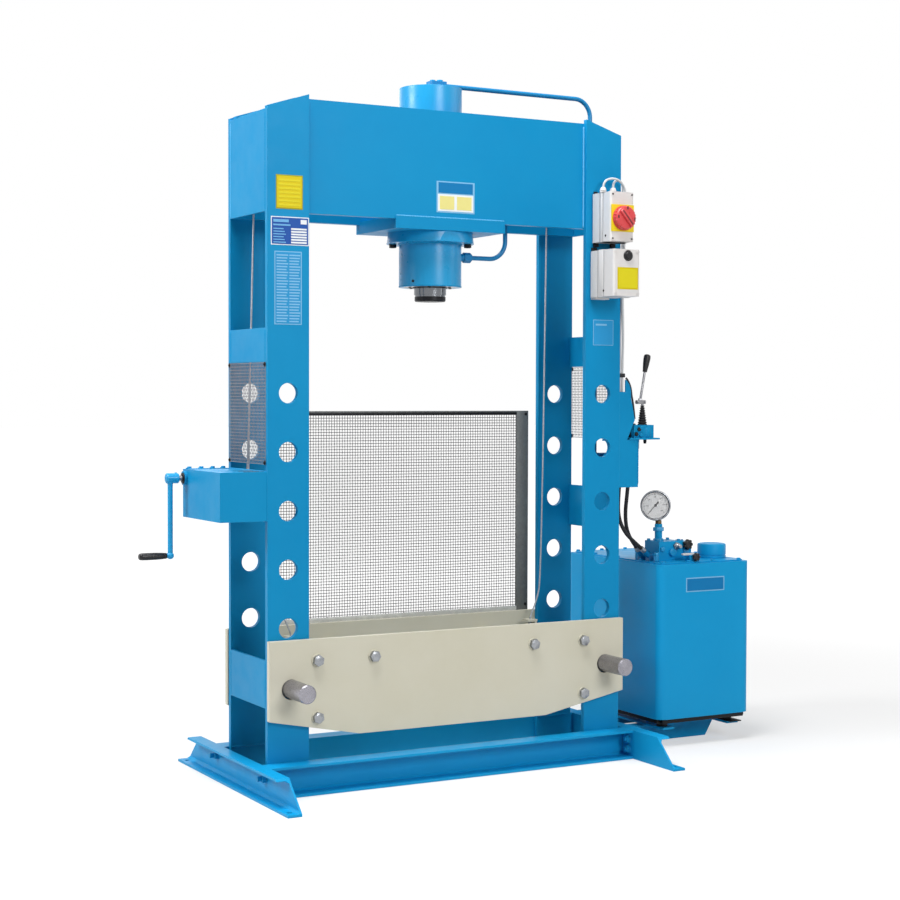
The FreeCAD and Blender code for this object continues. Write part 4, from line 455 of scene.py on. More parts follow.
# The gaskets in the boxes' seams: grey foam.
GASKET = Moulded("gasket_rubber", "#98979A", Slot.WHITE, roughness=0.8)
# Yellow and red moulded nylon of the switch.
NYLON_YELLOW = Moulded("yellow_nylon", "#E6CE18", Slot.YELLOW, roughness=0.4, dusty="#EEDC5A", specular=0.3)
NYLON_RED = Moulded("red_nylon", "#CF3A3E", Slot.RED, roughness=0.32, dusty="#E06A6C", coat=0.1)
# Dark red of thin plates on the knob: painted shade of its groove and recesses.
NYLON_RED_SHADE = Moulded("red_nylon_painted_shade", "#5E1216", Slot.RED, roughness=0.5, dusty="#7A2A2E")
# Oil-resistant rubber of hoses, boot, wiper, edging and mounts: black going grey.
RUBBER = Moulded("nitrile_rubber", "#18181B", Slot.RUBBER, roughness=0.6, specular=0.3, dusty="#2E2E31",
                 dust=0.25)
# PVC sheath of the cables: pale grey, soft sheen.
PVC = Moulded("grey_pvc", "#C9CBCD", Slot.RUBBER, roughness=0.45, dusty="#B4B6B9")
# White enamel of the dial, and the black of its print and pointer.
DIAL = Moulded("dial_enamel", "#E4E4E4", Slot.ZINC, roughness=0.4, dusty="#D6D6D6")
INK = Moulded("dial_ink", "#1C1C20", Slot.NEEDLE, roughness=0.5, dusty="#2C2C30")
# Printed polyester film of the plates, one colour each.
FILM_YELLOW = film("yellow_film", "#D2BE0E", Slot.YELLOW, "#C8B20A")
FILM_LEMON = film("lemon_film", "#D9CC22", Slot.YELLOW, "#CDBE1C")
FILM_OLIVE = film("olive_film", "#9C9A22", Slot.YELLOW, "#A8A52C")
FILM_BLUE = film("navy_film", "#1F4F9E", Slot.BLUE, "#2A5CAA")
FILM_WHITE = film("white_film", "#E6EAEC", Slot.WHITE, "#DADEE1")
FILM_MIST = film("mist_film", "#69AAD9", Slot.BLUE, "#7DB5DE")
FILM_LINE = film("line_film", "#7FBADF", Slot.BLUE, "#8FC2E3")
FILM_BAND = film("band_film", "#0C74AE", Slot.BLUE, "#1A7FB7")
FILM_SKY = film("sky_film", "#2A92CA", Slot.BLUE, "#3A9BD0")
FILM_STRAW = film("straw_film", "#E2D98A", Slot.YELLOW, "#D8CC70")
GLASS = Lens("window_glass", "#FFFFFF", Slot.WHITE, roughness=0.0, ior=1.45)


# ------------ shapes
def aim(direction: Point) -> Matrix:
    """The turn that takes +Z to a direction."""
    return Vector(UP).rotation_difference(Vector(direction)).to_matrix().to_4x4()


def dress(finish: Finish, *names: str) -> None:
    """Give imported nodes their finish.

    Args:
        finish: the finish.
        names: the nodes.
    """
    for name in names:
        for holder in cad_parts[name].material_slots:
            holder.material = finish.material()


def publish(piece: bpy.types.Object, body: str | None, finish: Finish,
            replaces: Sequence[str] = ()) -> None:
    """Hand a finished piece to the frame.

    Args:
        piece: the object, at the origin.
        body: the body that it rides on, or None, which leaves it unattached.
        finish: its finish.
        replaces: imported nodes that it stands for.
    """
    bpy.context.scene.collection.objects.link(piece)
    piece.data.materials.append(finish.material())
    if body is not None:
        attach(piece, body)
    if replaces:
        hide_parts(*replaces)
    log.info("%s rides on %s", piece.name, body or "two bodies")


def around(radius: float, degrees: float) -> Pair:
    """A place on a circle round the origin.

    Args:
        radius: the circle's radius.
        degrees: the place's angle.

    Returns:
        Its two coordinates.
    """
    angle = math.radians(degrees)
    return radius * math.cos(angle), radius * math.sin(angle)


def disc(radius: float, tall: float, shoulder: float | None = None, rim: float = 0.0) -> list[Point]:
    """The profile of a round plate for Shape.lathe.

    Args:
        radius: its radius.
        tall: its height.
        shoulder: the height at which its upper edge is cut off, if it is.
        rim: the radius of its upper face where the edge is cut off.

    Returns:
        Pairs of radius and height.
    """
    edge = [(radius, tall)] if shoulder is None else [(radius, shoulder), (rim, tall)]
    return [(0, 0), (radius, 0), *edge, (0, tall)]


def washer(inner: float, outer: float, shoulder: float, rim: float, tall: float) -> list[Point]:
    """The profile of a bored plate with its upper edge cut off.

    Args:
        inner: the bore's radius.
        outer: its radius.
        shoulder: the height at which its upper edge is cut off.
        rim: the radius of its upper face.
        tall: its height.

    Returns:
        Pairs of radius and height.
    """
    return [(inner, 0), (outer, 0), (outer, shoulder), (rim, tall), (inner, tall), (inner, 0)]


def socket(radius: float, shoulder: float, rim: float, tall: float, bore: float,
           floor: float) -> list[Point]:
    """The profile of a screw head with a round recess.

    Args:
        radius: the head's radius.
        shoulder: the height at which its upper edge is cut off.
        rim: the radius of its upper face.
        tall: its height.
        bore: the recess's radius.
        floor: the recess's floor.

    Returns:
        Pairs of radius and height.
    """
    return [(0, 0), (radius, 0), (radius, shoulder), (rim, tall), (bore, tall), (bore, floor), (0, floor)]


def bevel(work: bmesh.types.BMesh, edges: Sequence[bmesh.types.BMEdge], size: float,
          segments: int = 2) -> None:
    """Round edges off.

    Args:
        work: the mesh.
        edges: the edges.
        size: their radius.
        segments: faces across each.
    """
    bmesh.ops.bevel(work, geom=edges, offset=size, segments=segments, profile=0.5, affect="EDGES",
                    material=-1)


def mesh_of(data: bpy.types.Curve) -> bpy.types.Mesh:
    """The mesh that a curve or a text makes.

    Args:
        data: the curve or text.

    Returns:
        The mesh.
    """
    holder = bpy.data.objects.new("line", data)
    bpy.context.scene.collection.objects.link(holder)
    mesh = bpy.data.meshes.new_from_object(holder)
    bpy.data.objects.remove(holder)
    return mesh


def wire_curve(name: str, radius: float, resolution: int) -> bpy.types.Curve:
    """An empty curve whose lines are round wires.

    Args:
        name: its name.
        radius: the wires' radius.
        resolution: how round the wires are.

    Returns:
        The curve.
    """
    curve = bpy.data.curves.new(name, "CURVE")
    curve.dimensions = "3D"
    curve.bevel_depth = radius
    curve.bevel_resolution = resolution
    return curve


def add_wire(curve: bpy.types.Curve, spots: Sequence[Vector]) -> None:
    """Add one wire straight from place to place.

    Args:
        curve: the curve that holds the wires.
        spots: the places.
    """
    wire = curve.splines.new("POLY")
    wire.points.add(len(spots) - 1)
    for point, spot in zip(wire.points, spots):
        point.co = (*spot, 1.0)


class Shape:
    """A mesh in the making, in millimetres."""

    def __init__(self) -> None:
        """Start with nothing."""
        self.mesh = bmesh.new()

    @contextlib.contextmanager
    def part(self, place: Matrix) -> Iterator[bmesh.types.BMesh]:
        """One closed part of the shape, cleaned, turned outwards and put in its place.

        Args:
            place: where the part goes.

        Yields:
            The mesh to build it in.
        """
        work = bmesh.new()
        yield work
        bmesh.ops.remove_doubles(work, verts=work.verts, dist=1e-4)
        bmesh.ops.recalc_face_normals(work, faces=work.faces)
        work.transform(place)
        holder = bpy.data.meshes.new("part")
        work.to_mesh(holder)
        work.free()
        self.mesh.from_mesh(holder)
        bpy.data.meshes.remove(holder)

    def block(self, low: Point, high: Point, edge: float = 0.0, segments: int = 2,
              turn: Matrix | None = None, corner: float = 0.0) -> "Shape":
        """Add a box with rounded edges.

        Args:
            low: its lowest corner.
            high: its highest corner.
            edge: the radius of its edges.
            segments: faces across a rounded edge.
            turn: a turn about its own middle.
            corner: the upright edges' own, larger radius.

        Returns:
            The shape.
        """
        low, high = Vector(low), Vector(high)
        place = Matrix.Translation((low + high) / 2) @ (turn or Matrix())
        with self.part(place) as work:
            bmesh.ops.create_cube(work, size=1.0)
            bmesh.ops.scale(work, vec=high - low, verts=work.verts)
            edges = list(work.edges)
            if corner:
                bevel(work, [e for e in edges if self.stands(e)], corner, 6)
                edges = [e for e in work.edges if not self.stands(e)]
            if edge:
                bevel(work, edges, edge, segments)
        return self

    @staticmethod
    def stands(edge: bmesh.types.BMEdge) -> bool:
        """Whether an edge runs upwards."""
        return abs(edge.verts[0].co.z - edge.verts[1].co.z) > 1e-3

    def lathe(self, profile: Sequence[Point], at: Point = (0, 0, 0), along: Point = UP,
              steps: int = 48) -> "Shape":
        """Add a turned part.

        Args:
            profile: pairs of radius and height; it starts and ends on the axis, or where it closes.
            at: the point of height zero on the axis.
            along: the axis.
            steps: faces round it.

        Returns:
            The shape.
        """
        with self.part(Matrix.Translation(at) @ aim(along)) as work:
            verts = [work.verts.new((radius, 0, height)) for radius, height in profile]
            for first, second in zip(verts, verts[1:]):
                work.edges.new((first, second))
            bmesh.ops.spin(work, geom=[*work.verts, *work.edges], cent=(0, 0, 0), dvec=(0, 0, 0), axis=UP,
                           angle=math.tau, steps=steps, use_merge=True, use_duplicate=False)
        return self

    def rod(self, start: Point, end: Point, radius: float, edge: float = 0.6, steps: int = 24) -> "Shape":
        """Add a round bar with bevelled ends.

        Args:
            start: one end's middle.
            end: the other end's middle.
            radius: its radius.
            edge: the bevel of its ends.
            steps: faces round it.

        Returns:
            The shape.
        """
        start, end = Vector(start), Vector(end)
        tall = (end - start).length
        edge = min(edge, radius / 2, tall / 3)
        return self.lathe([(0, 0), (radius - edge, 0), (radius, edge), (radius, tall - edge),
                           (radius - edge, tall), (0, tall)], start, end - start, steps)

    def hexagon(self, at: Point, along: Point, flats: float, tall: float, turn: float = 0.0) -> "Shape":
        """Add a bolt head or nut with a chamfered edge and a raised face.

        Args:
            at: the middle of the face that it sits on.
            along: the way that it stands.
            flats: its width across flats.
            tall: its height.
            turn: its turn about its axis, in degrees.

        Returns:
            The shape.
        """
        place = Matrix.Translation(at) @ aim(along) @ Matrix.Rotation(math.radians(turn), 4, "Z")
        corner = flats / math.sqrt(3)
        with self.part(place) as work:
            bmesh.ops.create_cone(work, cap_ends=True, segments=6, radius1=corner, radius2=corner,
                                  depth=tall)
            bmesh.ops.translate(work, vec=(0, 0, tall / 2), verts=work.verts)
            rim = [e for e in work.edges if all(v.co.z > tall - 1e-4 for v in e.verts)]
            bevel(work, rim, tall * 0.12)
        face, raised = flats * 0.42, tall + flats * 0.02
        return self.lathe(disc(face, raised, tall, flats * 0.38), at, along, 24)

    def screw(self, at: Point, along: Point, radius: float, tall: float) -> "Shape":
        """Add a domed screw head with a small recess.

        Args:
            at: the middle of the face that it sits on.
            along: the way that it stands.
            radius: the head's radius.
            tall: the head's height.

        Returns:
            The shape.
        """
        return self.lathe([(0, 0), (radius, 0), (radius, tall * 0.35), (radius * 0.8, tall * 0.8),
                           (radius * 0.45, tall), (radius * 0.35, tall * 0.45), (0, tall * 0.4)],
                          at, along, 18)

    def weld(self, start: Point, end: Point, size: float, seed: int = 0) -> "Shape":
        """Add a weld bead: a round string of overlapping ripples.

        Args:
            start: where it starts.
            end: where it ends.
            size: the bead's radius.
            seed: what makes its ripples differ from another's.

        Returns:
            The shape.
        """
        start, end = Vector(start), Vector(end)
        step = 3.4
        count = max(4, int((end - start).length / step))
        rise = Vector((0, 0, (end - start).length / count))
        with self.part(Matrix.Translation(start) @ aim(end - start)) as work:
            bmesh.ops.create_circle(work, cap_ends=True, segments=8, radius=size * 0.5)
            rim = list(work.edges)
            for i in range(1, count + 1):
                swell = 1.0 + 0.12 * math.sin(i * 2.1 + seed) + 0.06 * math.sin(i * 5.3 + seed)
                ripple = 1.0 if i % 2 else 0.86
                radius = size * (0.5 if i == count else ripple * swell)
                made = bmesh.ops.extrude_edge_only(work, edges=rim)["geom"]
                ring = [g for g in made if isinstance(g, bmesh.types.BMVert)]
                rim = [g for g in made if isinstance(g, bmesh.types.BMEdge)]
                middle = sum((v.co for v in ring), Vector()) / len(ring)
                grow = radius / (ring[0].co - middle).length
                bmesh.ops.scale(work, vec=(grow, grow, 1), verts=ring, space=Matrix.Translation(-middle))
                bmesh.ops.translate(work, vec=rise, verts=ring)
            bmesh.ops.contextual_create(work, geom=rim)
        return self

    def slab(self, outline: Sequence[Point], thick: float, place: Matrix, edge: float = 0.0) -> "Shape":
        """Add a flat plate of any outline.

        Args:
            outline: its corners in the plate's own plane, counter-clockwise.
            thick: how far it stands up from that plane.
            place: where the plane lies.
            edge: the bevel of its edges.

        Returns:
            The shape.
        """
        with self.part(place) as work:
            face = work.faces.new([work.verts.new((x, y, 0)) for x, y in outline])
            made = bmesh.ops.extrude_face_region(work, geom=[face])["geom"]
            bmesh.ops.translate(work, vec=(0, 0, thick),
                                verts=[g for g in made if isinstance(g, bmesh.types.BMVert)])
            if edge:
                bevel(work, list(work.edges), edge)
        return self

    def join(self, data: bpy.types.Curve, place: Matrix | None = None) -> "Shape":
        """Add what a curve or a text makes.

        Args:
            data: the curve or text, with its own thickness.
            place: where it goes.

        Returns:
            The shape.
        """
        mesh = mesh_of(data)
        mesh.transform(place or Matrix())
        self.mesh.from_mesh(mesh)
        bpy.data.meshes.remove(mesh)
        return self

    def tube(self, points: Sequence[Point], radius: float) -> "Shape":
        """Add a round bar bent smoothly past a few points.

        Args:
            points: the points.
            radius: its radius.

        Returns:
            The shape.
        """
        return self.join(spline(points, radius, 4), Matrix.Scale(1 / MM, 4))

    def digits(self, text: str, height: float, place: Matrix) -> "Shape":
        """Add a number with a little thickness, centred on its place.

        Args:
            text: the number.
            height: the digits' height.
            place: its middle, with X to the right and Y up.

        Returns:
            The shape.
        """
        data = bpy.data.curves.new("digits", "FONT")
        data.body = text
        data.size = height / 0.7
        data.extrude = 0.12
        data.align_x = "CENTER"
        data.align_y = "CENTER"
        return self.join(data, place)

    def finish(self, name: str, body: str | None, finish: Finish, replaces: Sequence[str] = (),
               crease: float = 34.0) -> bpy.types.Object:
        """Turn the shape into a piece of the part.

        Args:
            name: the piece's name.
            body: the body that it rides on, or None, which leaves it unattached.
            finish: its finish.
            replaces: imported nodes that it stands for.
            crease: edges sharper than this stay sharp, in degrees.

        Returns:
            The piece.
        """
        self.mesh.transform(Matrix.Scale(MM, 4))
        holder = bpy.data.meshes.new(name)
        self.mesh.to_mesh(holder)
        self.mesh.free()
        holder.shade_smooth()
        holder.set_sharp_from_angle(angle=math.radians(crease))
        piece = bpy.data.objects.new(name, holder)
        publish(piece, body, finish, replaces)
        return piece


def spline(points: Sequence[Point], radius: float = 0.0, resolution: int = 0) -> bpy.types.Curve:
    """A smooth line over a cord's given points, or a round bar along it.

    Args:
        points: the points, in millimetres.
        radius: the bar's radius, in millimetres.
        resolution: how round the bar is.

    Returns:
        The curve data, in metres.
    """
    curve = wire_curve("line", radius * MM, resolution)
    curve.use_fill_caps = radius > 0
    curve.resolution_u = 12
    line = curve.splines.new("NURBS")
    line.points.add(len(points) - 1)
    for spot, point in zip(line.points, points):
        spot.co = (*(Vector(point) * MM), 1.0)
    line.order_u = 3
    line.use_endpoint_u = True
    return curve


def walk(points: Sequence[Point]) -> list[Vector]:
    """The places that a cord's smooth line runs through.

    Args:
        points: the cord's points, in millimetres.

    Returns:
        The places, in metres.
    """
    mesh = mesh_of(spline(points))
    found = [v.co.copy() for v in mesh.vertices]
    bpy.data.meshes.remove(mesh)
    return found


def length_of(path: Sequence[Vector]) -> float:
    """The length of a line through points."""
    return sum((b - a).length for a, b in zip(path, path[1:]))


@dataclass(frozen=True)
class Cord:
    """A cable or hose on a smooth line."""

    name: str
    points: tuple[Point, ...]
    diameter: float
    finish: Finish
    stiffness: str = "medium"
    lay: str = "hanging"

    def build(self, body: str, replaces: Sequence[str] = ()) -> None:
        """Args:
            body: the body that it rides on.
            replaces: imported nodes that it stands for.
        """
        curve = spline(self.points, self.diameter / 2, 6)
        curve.name = self.name
        piece = bpy.data.objects.new(self.name, curve)
        publish(piece, body, self.finish, replaces)
        real = round(length_of(walk(self.points)), 3)
        tuple(c * MM for c in self.points[0])


@dataclass(frozen=True)
class Strands:
    """A wire rope: six strands laid round a straight core along a smooth line."""

    name: str
    points: tuple[Point, ...]
    diameter: float = 6.0
    count: int = 6
    strand_share: float = 0.17
    lay_mm: float = 42.0
    step_mm: float = 5.5

    def build(self, body: str, replaces: Sequence[str] = ()) -> None:
        """Args:
            body: the body that it rides on.
            replaces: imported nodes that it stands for.
        """
        path = walk(self.points)
        thick = self.diameter * MM * self.strand_share
        reach = self.diameter * MM / 2 - thick
        curve = wire_curve(self.name, thick, 1)
        fine = self.evenly(path, self.step_mm * MM)
        for strand in range(self.count + 1):
            add_wire(curve, list(self.helix(fine, reach if strand else 0.0, strand)))
        mesh = mesh_of(curve)
        mesh.shade_smooth()
        piece = bpy.data.objects.new(self.name, mesh)
        publish(piece, body, ROPE, replaces)
        tuple(c * MM for c in self.points[0])
        round(length_of(path), 3)
        [tuple(p) for p in path]

    @staticmethod
    def evenly(path: Sequence[Vector], step: float) -> list[Vector]:
        """Points at even steps on a line.

        Args:
            path: the line.
            step: the distance between points, in metres.

        Returns:
            The points.
        """
        found, left = [path[0].copy()], step
        for first, second in zip(path, path[1:]):
            run = (second - first).length
            done = 0.0
            while run - done >= left:
                done += left
                found.append(first.lerp(second, done / run))
                left = step
            left -= run - done
        found.append(path[-1].copy())
        return found

    def helix(self, path: Sequence[Vector], reach: float, strand: int) -> Iterator[Vector]:
        """The places of one strand round the line.

        Args:
            path: the line at even steps.
            reach: the strand's distance from the line.
            strand: the strand's number.

        Yields:
            The strand's places.
        """
        side = (path[1] - path[0]).orthogonal().normalized()
        gone = 0.0
        for i, point in enumerate(path):
            ahead = (path[min(i + 1, len(path) - 1)] - path[max(i - 1, 0)]).normalized()
            side = (side - ahead * side.dot(ahead)).normalized()
            angle = math.tau * (strand / self.count + gone / (self.lay_mm * MM))
            yield point + (side * math.cos(angle) + ahead.cross(side) * math.sin(angle)) * reach
            if i + 1 < len(path):
                gone += (path[i + 1] - point).length


# ------------ studio
@dataclass(frozen=True)
class Studio:
    """The camera, the lamps, the floor and the white surround."""

    place: Triple = (-2.86380, -5.36695, 1.27428)
    yaw: float = 0.501575
    pitch: float = 0.030888
    roll: float = 0.002681
    lens: float = 71.162
    floor_size: float = 60.0
    floor_drop: float = 0.0008
    near: float = 2.0
    far: float = 6.5
    near_glow: float = 0.49
    paper: float = 0.5
    matt: float = 0.68
    fill: float = 0.1
    aimed_at: float = 1.1
    lamps: tuple[tuple[str, Point, float, float], ...] = (
        ("left_softbox", (-5.0, 0.9, 3.8), 2.0, 212), ("front_softbox", (0.6, -6.0, 3.3), 2.0, 165),
        ("top_softbox", (-1.0, -0.8, 5.2), 2.4, 240), ("right_softbox", (4.8, -2.2, 3.2), 2.6, 30),
        ("back_softbox", (0.0, 4.6, 3.6), 3.0, 36))

    def build(self) -> None:
        """Set the camera, the surround and the lamps."""
        self.camera()
        self.surround()
        for lamp in self.lamps:
            self.lamp(*lamp)

    def camera(self) -> None:
        """Stand the camera where the photograph was taken from."""
        level_out = math.cos(self.pitch)
        ahead = Vector((math.sin(self.yaw) * level_out, math.cos(self.yaw) * level_out,
                        -math.sin(self.pitch)))
        right = Vector((math.cos(self.yaw), -math.sin(self.yaw), 0))
        up = right.cross(ahead)
        level = right * math.cos(self.roll) + up * math.sin(self.roll)
        rise = up * math.cos(self.roll) - right * math.sin(self.roll)
        data = bpy.data.cameras.new("camera")
        data.lens = self.lens
        data.sensor_width = 36
        data.clip_end = 200
        camera = bpy.data.objects.new("camera", data)
        camera.matrix_world = Matrix((
            (level.x, rise.x, -ahead.x, self.place[0]), (level.y, rise.y, -ahead.y, self.place[1]),
            (level.z, rise.z, -ahead.z, self.place[2]), (0, 0, 0, 1)))
        bpy.context.scene.collection.objects.link(camera)
        bpy.context.scene.camera = camera

    def lamp(self, name: str, place: Point, size: float, power: float) -> None:
        """Hang a square softbox that looks at the press.

        Args:
            name: its name.
            place: where it hangs, in metres.
            size: its side.
            power: its power in watts.
        """
        data = bpy.data.lights.new(name, "AREA")
        data.size = size
        data.energy = power
        lamp = bpy.data.objects.new(name, data)
        lamp.matrix_world = Matrix.Translation(place) @ aim(Vector(place) - Vector((0, 0, self.aimed_at)))
        bpy.context.scene.collection.objects.link(lamp)

    def surround(self) -> None:
        """Lay the floor and set the white world."""
        scene = bpy.context.scene
        scene.view_settings.view_transform = "Standard"
        scene.world = bpy.data.worlds.new("surround")
        tree = emptied(scene.world)
        strength = add(tree, "ShaderNodeMapRange", {"Value": self.seen(tree), "To Min": self.fill,
                                                    "To Max": 1.0})
        light = add(tree, "ShaderNodeBackground", {"Color": (1, 1, 1, 1),
                                                   "Strength": strength.outputs["Result"]})
        add(tree, "ShaderNodeOutputWorld", {"Surface": light.outputs[0]})
        mesh = bmesh.new()
        bmesh.ops.create_grid(mesh, x_segments=1, y_segments=1, size=self.floor_size)
        bmesh.ops.translate(mesh, vec=(0, 0, -self.floor_drop), verts=mesh.verts)
        holder = bpy.data.meshes.new("floor")
        mesh.to_mesh(holder)
        mesh.free()
        floor = bpy.data.objects.new("floor", holder)
        holder.materials.append(self.floor_material())
        scene.collection.objects.link(floor)

    def seen(self, tree: bpy.types.NodeTree) -> Value:
        """One for what the camera sees directly, in metal or through glass, and else nothing.

        Args:
            tree: the nodes.

        Returns:
            The socket that carries it.
        """
        path = add(tree, "ShaderNodeLightPath")
        clear = add(tree, "ShaderNodeMath", {0: path.outputs["Is Camera Ray"],
                                             1: path.outputs["Is Transmission Ray"]}, operation="MAXIMUM")
        return add(tree, "ShaderNodeMath", {0: clear.outputs[0], 1: path.outputs["Is Glossy Ray"]},
                   operation="MAXIMUM").outputs[0]

    def floor_material(self) -> bpy.types.Material:
        """A white floor that keeps a light shadow.

        Returns:
            The material.
        """
        made = bpy.data.materials.new("studio_floor")
        tree = emptied(made)
        place = add(tree, "ShaderNodeTexCoord").outputs["Object"]
        away = add(tree, "ShaderNodeVectorMath", {0: place}, operation="LENGTH")
        glow = add(tree, "ShaderNodeMapRange", {
            "Value": away.outputs["Value"], "From Min": self.near, "From Max": self.far,
            "To Min": self.near_glow, "To Max": 1.0}, interpolation_type="SMOOTHSTEP")
        matt = add(tree, "ShaderNodeBsdfDiffuse", {"Color": (self.matt, self.matt, self.matt, 1)})
        white = add(tree, "ShaderNodeEmission", {"Color": (1, 1, 1, 1), "Strength": glow.outputs["Result"]})
        paper = add(tree, "ShaderNodeBsdfDiffuse", {"Color": (self.paper, self.paper, self.paper, 1)})
        shown = add(tree, "ShaderNodeAddShader", {0: white.outputs[0], 1: paper.outputs[0]})
        both = add(tree, "ShaderNodeMixShader", {0: self.seen(tree), 1: matt.outputs[0],
                                                 2: shown.outputs[0]})
        add(tree, "ShaderNodeOutputMaterial", {"Surface": both.outputs[0]})
        return made


# ------------ frame
class Label:
    """A bare plate of one or more fields of colour, stuck on a face that looks to the front."""

    SKIN = 0.4

    def __init__(self, name: str, face: float) -> None:
        """Choose the plate's name and the face that it sticks on.

        Args:
            name: the plate's name.
            face: the face's place front to back.
        """
        self.name = name
        self.face = face
        self.count = 0

    def field(self, low: Point, high: Point, finish: Finish, level: int = 0) -> "Label":
        """Add a field of one colour.

        Args:
            low: its left and lower sides.
            high: its right and upper sides.
            finish: its colour.
            level: how many fields lie under it.

        Returns:
            The plate.
        """
        back = self.face - level * self.SKIN
        self.count += 1
        Shape().block((low[0], back - self.SKIN, low[1]), (high[0], back, high[1]), 0.15, 1).finish(
            "%s_%d" % (self.name, self.count), "frame", finish)
        return self


